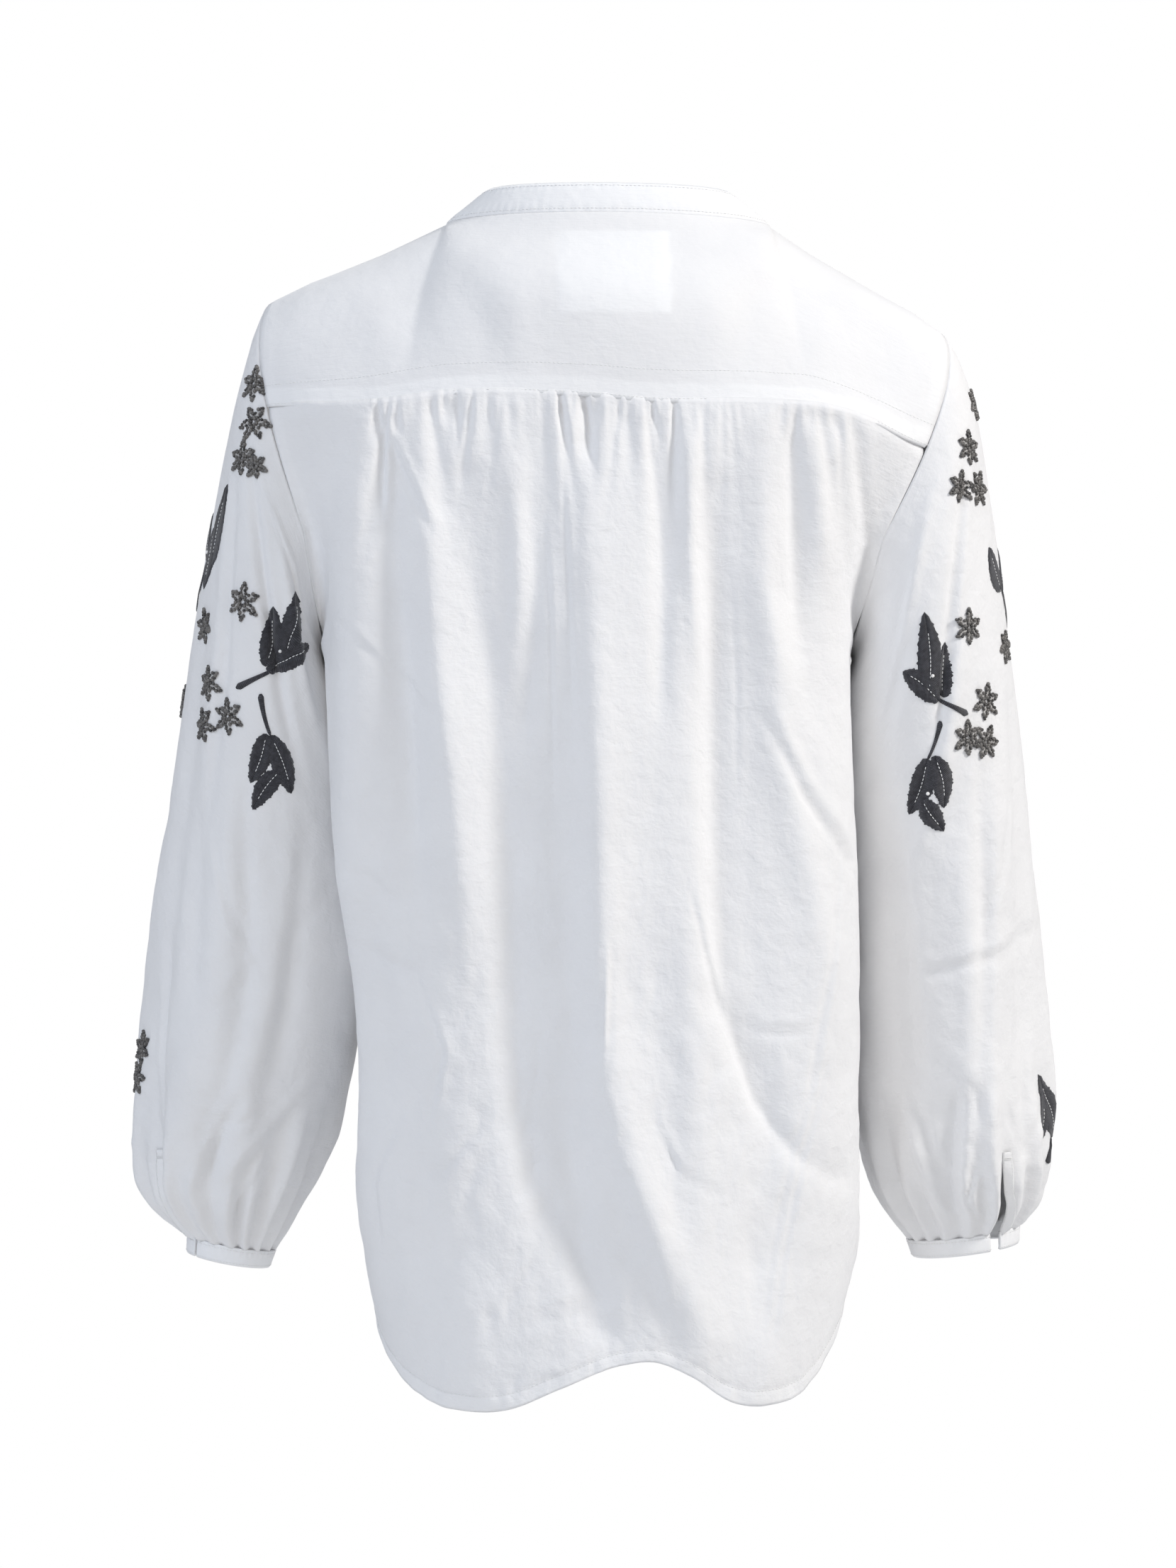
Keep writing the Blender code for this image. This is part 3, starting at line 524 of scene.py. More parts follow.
bandLookCotton = {**cottonLook, "plain": (0.86, 0.865, 0.88), "shade": (0.84, 0.845, 0.86)}
labelLookCotton = {**cottonLook, "plain": (0.86, 0.86, 0.86), "threadPitch": 0.35}
whiteCotton = cottonMaterial("whiteCotton", cottonLook, 1.35)
yokeCotton = cottonMaterial("yokeCotton", cottonLook, 0.7)
bandCotton = cottonMaterial("bandCotton", bandLookCotton, 0.6)
labelCloth = cottonMaterial("labelCloth", labelLookCotton, 0.3)
leafThread = threadMaterial("leafThread", (0.016, 0.016, 0.021), (0.065, 0.065, 0.078), 1.1)
petalThread = threadMaterial("petalThread", (0.50, 0.485, 0.47), (0.74, 0.725, 0.71), 0.8)
whiteThread = sewingMaterial("whiteThread", (0.88, 0.88, 0.87))
greyBead = beadMaterial("greyBead", (0.018, 0.016, 0.016), (0.17, 0.16, 0.15))
pearlBead = beadMaterial("pearlBead", (0.75, 0.74, 0.72), (0.9, 0.89, 0.87))
print("materials ready")


def startTree(name, inputs):
    tree = bpy.data.node_groups.new(name, "GeometryNodeTree")
    tree.interface.new_socket("Geometry", in_out="OUTPUT", socket_type="NodeSocketGeometry")
    kinds = {"Geometry": "Geometry", **dict.fromkeys(inputs, "Float"), "Seed": "Int", "Material": "Material"}
    for title in ("Geometry", *inputs, "Material"):
        tree.interface.new_socket(title, in_out="INPUT", socket_type="NodeSocket" + kinds[title])
    given = addNode(tree, "NodeGroupInput").outputs
    return tree, given, addNode(tree, "NodeGroupOutput")


def layAndFinish(tree, given, out, spots, subdivisions, scale, rotation=None, shade=None):
    # a small ball on every spot, made real, smooth and of the given material
    ball = addNode(tree, "GeometryNodeMeshIcoSphere", {"Radius": 0.5, "Subdivisions": subdivisions})
    inputs = {"Points": spots, "Instance": ball.outputs["Mesh"], "Scale": scale}
    if rotation is not None:
        inputs["Rotation"] = rotation
    shape = addNode(tree, "GeometryNodeInstanceOnPoints", inputs).outputs["Instances"]
    if shade is not None:
        keep = {"Geometry": shape, "Name": "shade", "Value": shade}
        settings = {"data_type": "FLOAT", "domain": "INSTANCE"}
        shape = addNode(tree, "GeometryNodeStoreNamedAttribute", keep, **settings).outputs["Geometry"]
    for step in ("RealizeInstances", "SetShadeSmooth"):
        shape = addNode(tree, "GeometryNode" + step, {"Geometry": shape}).outputs["Geometry"]
    finish = addNode(tree, "GeometryNodeSetMaterial", {"Geometry": shape, "Material": given["Material"]})
    tree.links.new(finish.outputs["Geometry"], out.inputs["Geometry"])
    return tree


def stitchTree():
    # stitches of one length and pitch along each line of the mesh
    tree, given, out = startTree("runningStitch", ["Pitch", "Length", "Width"])
    curve = addNode(tree, "GeometryNodeMeshToCurve", {"Mesh": given["Geometry"]}).outputs["Curve"]
    cut = {"Curve": curve, "Length": given["Pitch"]}
    places = addNode(tree, "GeometryNodeCurveToPoints", cut, mode="LENGTH").outputs
    sizes = {"X": given["Width"], "Y": given["Width"], "Z": given["Length"]}
    size = addNode(tree, "ShaderNodeCombineXYZ", sizes).outputs["Vector"]
    return layAndFinish(tree, given, out, places["Points"], 1, size, rotation=places["Rotation"])


def beadTree():
    # a bead on every point, a little uneven in size and shade
    tree, given, out = startTree("sewnBeads", ["Diameter", "Uneven", "Seed"])
    chance = addNode(tree, "FunctionNodeRandomValue", {"Seed": given["Seed"]}, data_type="FLOAT").outputs[1]
    grow = addMath(tree, "ADD", addMath(tree, "MULTIPLY", chance, given["Uneven"]), 1.0)
    size = addMath(tree, "MULTIPLY", grow, given["Diameter"])
    return layAndFinish(tree, given, out, given["Geometry"], 2, size, shade=chance)


runningStitch = stitchTree()
sewnBeads = beadTree()


def growPiece(name, lines, tree, values):
    # lines: lists of points in mm; a line of one point is a bead's place
    points, edges = [], []
    for line in lines:
        start = len(points)
        points += (np.asarray(line, float).reshape(-1, 3) * mm).tolist()
        if tree is runningStitch:
            edges += [(start + k, start + k + 1) for k in range(len(points) - start - 1)]
    mesh = bpy.data.meshes.new(name)
    mesh.from_pydata(points, edges, [])
    piece = bpy.data.objects.new(name, mesh)
    blouse.objects.link(piece)
    grown = piece.modifiers.new("grown", "NODES")
    grown.node_group = tree
    for socket in tree.interface.items_tree:
        if socket.in_out == "INPUT" and socket.name in values:
            grown[socket.identifier] = values[socket.name]
    graph = bpy.context.evaluated_depsgraph_get()
    made = bpy.data.meshes.new_from_object(piece.evaluated_get(graph), depsgraph=graph)
    piece.modifiers.clear()
    piece.data = made
    made.name = name
    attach(piece, "root")
    return piece


def seamLines(cloth, *places):
    # each place: a row, counted from the last one where it is negative, or between two rows, and a lift
    _, grid, normals = cloth
    lines = []
    for row, lift in places:
        row += len(grid) if row < 0 else 0
        low = int(math.floor(row))
        share, high = row - low, min(low + 1, len(grid) - 1)
        lines.append(grid[low] * (1 - share) + grid[high] * share + lift * normals[low])
    return lines


def sew(name, lines, slot, **changed):
    sizes = {"Pitch": 2.6, "Length": 2.0, "Width": 0.42, **changed}
    values = {key: size * mm for key, size in sizes.items()}
    growPiece(name, lines, runningStitch, {**values, "Material": whiteThread})


yokeLook = {
    "fine": 4, "rows": 66, "allowance": 12.0, "label": (29.0, -40.0, -14.0, -69.0),
    "folds": [
        # x and z at the start, x and z at the end, half width, depth outwards
        (150, -40, 120, -118, 16, 1.6), (96, -30, 60, -112, 14, -1.5), (60, -40, 50, -118, 12, 1.2),
        (-60, -30, -80, -118, 14, 1.4), (-100, -40, -72, -110, 12, -1.6), (-140, -60, -120, -120, 14, 1.4),
        (-178, -70, -160, -128, 12, -1.2),
    ],
}


def withPlainEnds(gathered, leftColumns, rightColumns):
    # shares along the yoke seam: plain cloth on both sides of the gathers
    left = np.linspace(0, gathers["from"], leftColumns)[:-1]
    return np.concatenate([left, gathered, np.linspace(gathers["to"], 1, rightColumns)[1:]])


def fromSides(rows):
    # how far each point stands from the nearer end of its row
    left, right = (np.linalg.norm(rows - end[:, None], axis=-1) for end in (rows[:, 0], rows[:, -1]))
    return np.minimum(left, right)


def rowsToHem(side, levels, hemTable, shares):
    # rows across the body at the given left and right heights, and the hem's own row
    lines = [bodyRow(side, leftZ, rightZ, None, shares) for leftZ, rightZ in levels]
    hem = bodyRow(side, hemTable[0][1], hemTable[-1][1], None, shares)
    hem[:, 2] = byFalling(hemTable, 1, hem[:, 0])
    return [*lines, hem]


def hemRelief(toHem, look):
    # the doubled hem stands out, and its stitching draws a groove
    groove = look["hemGroove"] * hump(toHem - look["hemDepth"], 1.2)
    return look["hemRise"] * relief(toHem, -3, look["hemDepth"], 1.0) - groove


def makeYoke(look):
    fine = look["fine"]
    top = topLine(1, 7 * fine, 20 * fine)
    gathered = np.linspace(gathers["from"], gathers["to"], 2 * gathers["count"] + 1)[::3]
    shares = withPlainEnds(gathered, 6, 6)
    steps = len(shares) - 1
    shares = np.interp(np.linspace(0, steps, steps * fine + 1), np.arange(steps + 1), shares)
    seam = bodyRow(1, yokeSeam[0][1], yokeSeam[-1][1], yokeSeam, shares)
    roll = rollLine(top, 1, 30, 8, 9, 16)
    blade = 0.45 * top + 0.55 * seam + [0, 15, 10]
    at = np.linspace(0, 1, look["rows"])
    rows = smooth([0, 0.2, 0.6, 1], np.stack([top, roll, blade, seam]), at)
    followEdges(rows[1:-1], 1, 0.12)
    normals = gridNormals(rows, np.array([0, 0.6, 0.8]), 2)
    x, z = rows[..., 0], rows[..., 2]
    toSeam = np.linalg.norm(rows - rows[-1], axis=-1)
    left, right, high, low = look["label"]
    labelled = relief(x, right, left, 2.0) * relief(z, low, high, 2.0)
    strip = relief(x, right - 1, right + 9, 2.0) * relief(z, low, high, 2.0)
    band = relief(toSeam, -5, look["allowance"], 1.5)
    inside = np.sin(math.pi * clamp(at))[:, None] ** 0.5
    push = foldField(look["folds"], x, z) * inside
    push += 0.35 * crumple(x, z, 11, 34.0) * inside
    push += 0.12 * band + 0.25 * labelled - 0.4 * hump(x - left, 1.6) * relief(z, low, high, 4.0)
    push -= 0.12 * hump(toSeam - look["allowance"] - 1.2, 1.6)
    toArmhole = np.minimum(np.abs(x - x[:, :1]), np.abs(x - x[:, -1:]))
    push -= 0.5 * hump(toArmhole, 2.0)
    rows = rows + normals * push[..., None]
    # seam allowance, label, its strip and armhole edge are painted whiter where doubled: painted light for less of
    # the shaded inside showing through
    doubled = clamp(0.7 * band + 0.8 * labelled + 0.5 * strip + 0.4 * relief(toArmhole, -5, 9, 2.0))
    return clothPiece("backYoke", rows, normals, yokeCotton, (430, 150), doubled=doubled)


yoke = makeYoke(yokeLook)
print("yoke made")

backLook = {
    "columnsPerGather": 7, "hemDepth": 8.0, "hemRise": 0.3, "hemGroove": 0.3, "hemStep": 0.0015,
    "crumple": 3.0, "crumpleSize": 24.0, "sideHeld": 26.0, "seamSunk": (1.1, 0.7),
    "levels": [(-275, -270), (-345, -345), (-400, -400), (-475, -475), (-545, -545), (-610, -610)],
    "folds": [
        (62, -170, 34, -690, 15, -7), (38, -260, 12, -640, 12, -4), (-62, -150, -106, -690, 17, -7),
        (100, -190, 92, -640, 17, 5), (-6, -150, -2, -560, 17, 4.5), (-50, -420, -60, -720, 12, 4),
        (-138, -170, -140, -600, 14, 3.5), (128, -180, 132, -330, 12, 4), (-84, -210, -140, -400, 10, 3),
        (140, -420, 120, -560, 10, -3), (85, -640, 80, -738, 18, 4), (-100, -650, -98, -735, 16, 3.5),
    ],
    # tucks below the yoke seam: each length, width and depth lies between two sizes
    "tucks": {
        "puff": 1.8, "seed": 12, "count": 42, "start": 136, "end": -152, "depth": (1.2, 5.0),
        "halfWidth": (1.6, 4.2), "reach": (14, 90), "slant": 0.15,
    },
    "fineTucks": {
        "puff": 0.0, "seed": 5, "count": 60, "start": 138, "end": -160, "depth": (0.3, 1.7),
        "halfWidth": (1.2, 2.0), "reach": (8, 36), "slant": 0.12,
    },
    "creases": [
        # half width, depth, lip to its right as seen, line of x and z
        (13, -6.5, 0, [(34, -520), (22, -600), (8, -660), (2, -700)]),
        (15, 8, 0, [(-6, -500), (-18, -580), (-38, -650), (-62, -712)]),
        (9, -4, 0, [(-88, -620), (-98, -700)]),
        (36, 14, 0, [(150, -100), (148, -300), (140, -660)]),
        (32, 8, 0, [(-140, -120), (-140, -300), (-134, -660)]),
        (11, 6.5, 0, [(149, -150), (148, -230), (145, -330), (146, -460)]),
        (9, -8, 0, [(129, -140), (127, -220), (118, -330), (112, -420)]),
        (9, 5.2, 0, [(108, -135), (106, -200), (98, -290), (88, -360), (80, -470)]),
        (10, -6, 0, [
            (84, -170), (80, -230), (70, -300), (62, -400), (57, -520), (46, -595), (10, -660), (-7, -697),
        ]),
        (9, 4.5, 0, [(52, -150), (50, -230), (52, -300)]),
        (8, -4.5, 0, [(46, -132), (43, -230), (50, -330)]),
        (12, 6.3, 0, [
            (12, -140), (9, -240), (6, -330), (3, -412), (0, -540), (-8, -575), (-40, -645), (-70, -690),
        ]),
        (7, -4.9, 0, [(-33, -140), (-36, -230), (-34, -320)]),
        (6, 4.5, 0, [(-52, -135), (-53, -220), (-60, -300)]),
        (9, -7, 0, [(-66, -178), (-66, -280), (-68, -380), (-72, -487), (-108, -572), (-141, -598)]),
        (10, 6.3, 0, [(-96, -140), (-97, -240), (-104, -330), (-122, -420), (-133, -520)]),
        (6, -4.9, 0, [(-115, -135), (-116, -200), (-118, -275)]),
        (7, 3.5, 0, [(-128, -150), (-130, -230)]),
        (2.2, -2.6, 0.7, [(135, -136), (134, -192)]),
        (2.6, -2.2, 0.8, [(140, -127), (122, -165), (104, -202)]),
        (1.8, -1.7, 0.7, [(149, -256), (126, -286), (104, -311), (92, -318)]),
        (3, -2.6, 0.7, [(-94, -311), (-117, -363), (-148, -414)]),
        (3.4, -1.6, 0.4, [(-72, -487), (-92, -545), (-120, -588), (-146, -601)]),
        (1.8, -0.8, 0.5, [(26, -150), (22, -240), (19, -330)]),
        (1.8, -0.7, 0.5, [(37, -190), (33, -260), (31, -375)]),
        (1.8, -0.6, 0.5, [(-78, -230), (-82, -290), (-83, -362)]),
        (2.5, -1.6, 0.6, [(-82, -501), (-104, -508), (-126, -506)]),
        (1.5, -0.8, 0.6, [(-132, -522), (-118, -595), (-101, -702)]),
        (1.5, -0.7, 0.6, [(-125, -532), (-112, -595), (-95, -692)]),
        (1.8, -1.4, 0.7, [(-137, -378), (-132, -453), (-122, -547)]),
        (1.6, 1.4, 0.6, [(-2, -455), (-1, -485), (0, -515)]),
        (4, -2.3, 0.5, [(141, -407), (122, -430)]),
        (4, -2.2, 0.5, [(140, -457), (110, -473)]),
        (2.6, -1.7, 0.6, [(57, -685), (30, -678), (3, -667)]),
        (2.4, -1.6, 0.6, [(-52, -420), (-62, -462), (-73, -500)]),
        (2, -1.4, 0.6, [(70, -560), (96, -592), (120, -600)]),
        (2, -1.4, 0.6, [(90, -690), (60, -672), (40, -640)]),
        (2, -1.4, 0.6, [(120, -560), (136, -600), (134, -640)]),
        (2.2, -1.4, 0.6, [(112, -470), (96, -520), (104, -560)]),
        (2, -1.3, 0.6, [(-30, -560), (-44, -590), (-70, -606)]),
    ],
}


def pulledTucks(t, x, below):
    # narrow tucks that run out at their own lengths, in loose bunches
    chance = np.random.default_rng(t["seed"])
    places = np.linspace(t["start"], t["end"], t["count"])
    step = places[1] - places[0]
    total = t["puff"] * hump(below, 50) * relief(x, t["end"], t["start"], 30)
    for place in places:
        shift, deep, wide, far, slant = chance.uniform(0, 1, 5)
        centre = place + (shift - 0.5) * 1.1 * step + (slant - 0.5) * 2 * t["slant"] * below
        bunch = 0.75 + 0.35 * math.sin(place * 0.09) + 0.25 * math.sin(place * 0.043 + 2)
        depth = (t["depth"][0] + (t["depth"][1] - t["depth"][0]) * deep**1.5) * bunch
        halfWidth = t["halfWidth"][0] + (t["halfWidth"][1] - t["halfWidth"][0]) * wide
        reach = t["reach"][0] + (t["reach"][1] - t["reach"][0]) * far**1.7
        spread = halfWidth * (0.8 + 0.9 * np.clip(below / reach, 0, 1.5))
        fade = np.exp(-((np.clip(below, 0, None) / reach) ** 3)) * clamp(below / 9 + 0.25)
        total -= depth * fade * hump(x - centre, spread)
    return total


def makeBack(look):
    fine = look["columnsPerGather"]
    gathered = np.linspace(gathers["from"], gathers["to"], fine * gathers["count"] + 1)
    shares = withPlainEnds(gathered, 23, 21)
    seam = bodyRow(1, yokeSeam[0][1], yokeSeam[-1][1], yokeSeam, shares)
    lines = [seam, *rowsToHem(1, look["levels"], backHem, shares)]
    keys = [0, 0.25, 0.37, 0.46, 0.59, 0.72, 0.84, 1]
    at = np.concatenate(
        [np.linspace(0, 0.30, 58)[:-1], np.linspace(0.30, 0.975, 88)[:-1],
         1 - look["hemStep"] * np.array([16.7, 14, 11.5, 9.8, 8.9, 8.1, 7.2, 5.5, 3.5, 1.6, 0])]
    )
    rows = smooth(keys, np.stack(lines), at)
    followEdges(rows[1:-1], 1, 0.06)
    normals = gridNormals(rows, np.array([0, 1, 0]), 2)
    x, z = rows[..., 0], rows[..., 2]
    facing = clamp((normals[..., 1] - 0.1) / 0.6)
    down = at[:, None]
    grow = clamp(down / 0.10)
    push = foldField(look["folds"], x, z) * facing * grow
    below = rows[0, :, 2] - z
    push += pulledTucks(look["tucks"], x, below) + pulledTucks(look["fineTucks"], x, below)
    lower = np.clip((-z - 260) / 260, 0.25, 1)
    push += look["crumple"] * crumple(x, z, 3, look["crumpleSize"]) * lower * grow
    toHem = (1 - down) / look["hemStep"]
    toSide = fromSides(rows)
    held = np.sin(clamp(toSide / look["sideHeld"]) * math.pi / 2) ** 2
    push += creaseField(look["creases"], x, z) * clamp(facing * 1.6) * held
    push += hemRelief(toHem, look)
    push += 0.16 * np.sin(0.55 * x + 2.0 * np.sin(0.11 * x)) * relief(toHem, -3, 12, 5.0)
    push -= 0.5 * hump(toSide, 2.0)
    push[0] -= look["seamSunk"][0]
    push[1] -= look["seamSunk"][1]
    rows = rows + normals * push[..., None]
    rows = np.concatenate([rows[:1] + [0, -0.8, 3.5], rows])
    normals, toHem, toSide = (np.concatenate([each[:1], each]) for each in (normals, toHem, toSide))
    # the hem and the side edges are painted whiter where doubled: painted light for less of the shaded inside
    # showing through
    doubled = clamp(0.4 * relief(toHem, -3, look["hemDepth"], 1.0) + 0.25 * relief(toSide, -5, 8, 2.0))
    return clothPiece("backBody", rows, normals, whiteCotton, (760, 640), doubled=doubled)


back = makeBack(backLook)
print("back made")

frontLook = {
    "fine": 3, "slit": 160.0, "slitWidth": 5.0, "bandWidth": 11.0, "slitEnd": 12.0,
    "hemDepth": 8.0, "hemRise": 0.45, "hemGroove": 0.35, "hemStep": 0.00135, "creaseShare": 1.5,
    "levels": [(-150, -150), (-275, -270), (-400, -400), (-545, -545)],
    "folds": [
        (110, -150, 120, -640, 16, 5), (70, -190, 76, -660, 14, -5), (36, -230, 44, -600, 15, 4),
        (0, -260, 4, -700, 14, -5), (-38, -220, -44, -620, 15, 4.5), (-76, -180, -80, -660, 14, -5),
        (-116, -150, -122, -630, 16, 4.5),
    ],
    "creases": [
        (3.5, -1.5, 0.5, [(100, -320), (122, -370), (146, -410)]),
        (4, -1.5, 0.5, [(-138, -400), (-118, -432)]),
        (3, -1.1, 0.5, [(60, -520), (20, -560), (-24, -572)]),
        (3, -1.1, 0.5, [(-60, -440), (-84, -500)]),
        (3.5, 1.2, 0.4, [(20, -640), (56, -660)]),
        (3, -1, 0.5, [(-100, -600), (-70, -640), (-56, -680)]),
    ],
}


def makeFront(look):
    fine = look["fine"]
    top = topLine(-1, 7 * fine, 26 * fine)
    shares = np.linspace(0, 1, len(top))
    lines = [top, rollLine(top, -1, 32, 10, 10, 24), *rowsToHem(-1, look["levels"], frontHem, shares)]
    nearHem = np.array([14.8, 11.5, 9.5, 8.5, 7.5, 5, 2.5, 0])
    at = np.concatenate([np.linspace(0, 0.98, 150)[:-1], 1 - look["hemStep"] * nearHem])
    rows = smooth([0, 0.05, 0.17, 0.36, 0.56, 0.78, 1], np.stack(lines), at)
    followEdges(rows[1:-1], -1, 0.10)
    normals = gridNormals(rows, np.array([0, -1, 0]), 2)
    x, z = rows[..., 0], rows[..., 2]
    down = at[:, None]
    facing = clamp((-normals[..., 1] - 0.1) / 0.6)
    grow = clamp(down / 0.3)
    push = foldField(look["folds"], x, z) * facing * grow
    push += (0.3 + 0.8 * clamp((-z - 200) / 260)) * crumple(x, z, 23, 30.0) * clamp(down / 0.06)
    push += look["creaseShare"] * creaseField(look["creases"], x, z)
    toHem = (1 - down) / look["hemStep"]
    toSide = fromSides(rows)
    push += hemRelief(toHem, look)
    push -= 0.5 * hump(toSide, 2.0)
    middle = len(top) // 2
    openTo = rows[0, middle, 2] - look["slit"]
    toSlit = np.abs(x - neck["middle"])
    beside = relief(z, openTo - look["slitEnd"], 200, 2.0)
    facingBand = relief(toSlit, -5, look["bandWidth"], 1.5) * beside
    push += 0.4 * facingBand - 0.3 * hump(toSlit - look["bandWidth"], 1.2) * beside
    rows = rows + normals * push[..., None]
    rows = np.insert(rows, middle, rows[:, middle], axis=1)
    normals = np.insert(normals, middle, normals[:, middle], axis=1)
    ids = np.arange(rows.shape[0] * rows.shape[1]).reshape(rows.shape[:2])
    for i in range(len(at)):
        height = rows[i, middle, 2]
        if height > openTo:
            spread = look["slitWidth"] / 2 * (height - openTo) / look["slit"] + 0.3
            for k in range(4):
                ease = (1 - k / 4) ** 1.5
                rows[i, middle - k, 0] += spread * ease
                rows[i, middle + 1 + k, 0] -= spread * ease
        else:
            ids[i, middle + 1] = ids[i, middle]
    # the hem and the slit's facing band are painted whiter where doubled: painted light for less of the shaded
    # inside showing through
    doubled = clamp(0.8 * relief(toHem, -3, look["hemDepth"], 1.0) + 0.8 * facingBand)
    doubled = np.insert(np.broadcast_to(doubled, x.shape), middle, facingBand[:, middle], axis=1)
    cut = (680, 720)
    return clothPiece("frontBody", rows, normals, whiteCotton, cut, ids=ids, doubled=doubled, openColumn=middle)


front = makeFront(frontLook)
print("front made")

# the band is doubled all round, and doubled cloth is painted whiter: painted light
bandLook = {
    "height": 19.0, "lean": 7.0, "sideLean": 17.0, "thickness": 1.6, "turns": 300, "rows": 16,
    "pucker": 0.28, "puckerPitch": 6.5, "doubled": 0.75,
}


def makeNeckband(look):
    turns = np.linspace(-math.pi / 2 + 0.03, 1.5 * math.pi - 0.03, look["turns"])
    share = np.linspace(-0.05, 1, look["rows"])[:, None]
    reach = np.where(np.sin(turns) > 0, neck["back"], neck["front"])
    level = leftShoulder[-1][1] + (rightShoulder[-1][1] - leftShoulder[-1][1]) * (1 - np.cos(turns)) / 2
    drop = np.where(np.sin(turns) > 0, 0, neck["frontDrop"]) * np.sin(turns) ** 2
    lift = np.where(np.sin(turns) > 0, np.sin(turns), 0)
    lean = clamp(share)
    inward = look["lean"] * lean**1.3 + 0.9 * clamp((lean - 0.9) / 0.1) ** 2
    sideLean = look["sideLean"] * np.abs(np.cos(turns)) ** 3 * lean
    rows = np.stack(
        [
            neck["middle"] + (neck["halfWidth"] - 0.2 - inward - sideLean) * np.cos(turns),
            (reach - 0.2 - inward) * np.sin(turns),
            level - drop + lift + 0.35 + look["height"] * share,
        ],
        -1,
    )
    normals = gridNormals(rows, rows - rows.mean(axis=(0, 1)))
    run = turns * 90
    fade = np.exp(-(((np.sin(turns / 2 - 0.2)) ** 2) * 1.2))
    pucker = np.sin(2 * math.pi * run / look["puckerPitch"] + 2 * np.sin(run * 0.07)) * look["pucker"] * fade
    push = pucker * hump(share - 0.12, 0.22) + 0.7 * pucker * hump(share - 0.85, 0.12)
    push = push + 0.5 * crumple(run, share * look["height"], 31, 16.0)
    push = push - 0.3 * hump(share - 0.10, 0.05) - 0.3 * hump(share - 0.88, 0.05)
    rows = rows + normals * push[..., None]
    worn = {"doubled": look["doubled"], "thickness": look["thickness"]}
    return clothPiece("standBand", rows, normals, bandCotton, (540, 20), **worn)


band = makeNeckband(bandLook)
print("neckband made")

sleeveLook = {
    "gathers": 18, "columnsPerGather": 10, "length": 560.0, "radius": 65.0,
    "puff": 4.8, "puffAt": 0.93, "puffReach": 0.10, "atCuff": 1.5,
    "crumple": 2.1, "crumpleSize": 26.0, "slitFrom": 0.90, "slitColumns": 7,
}
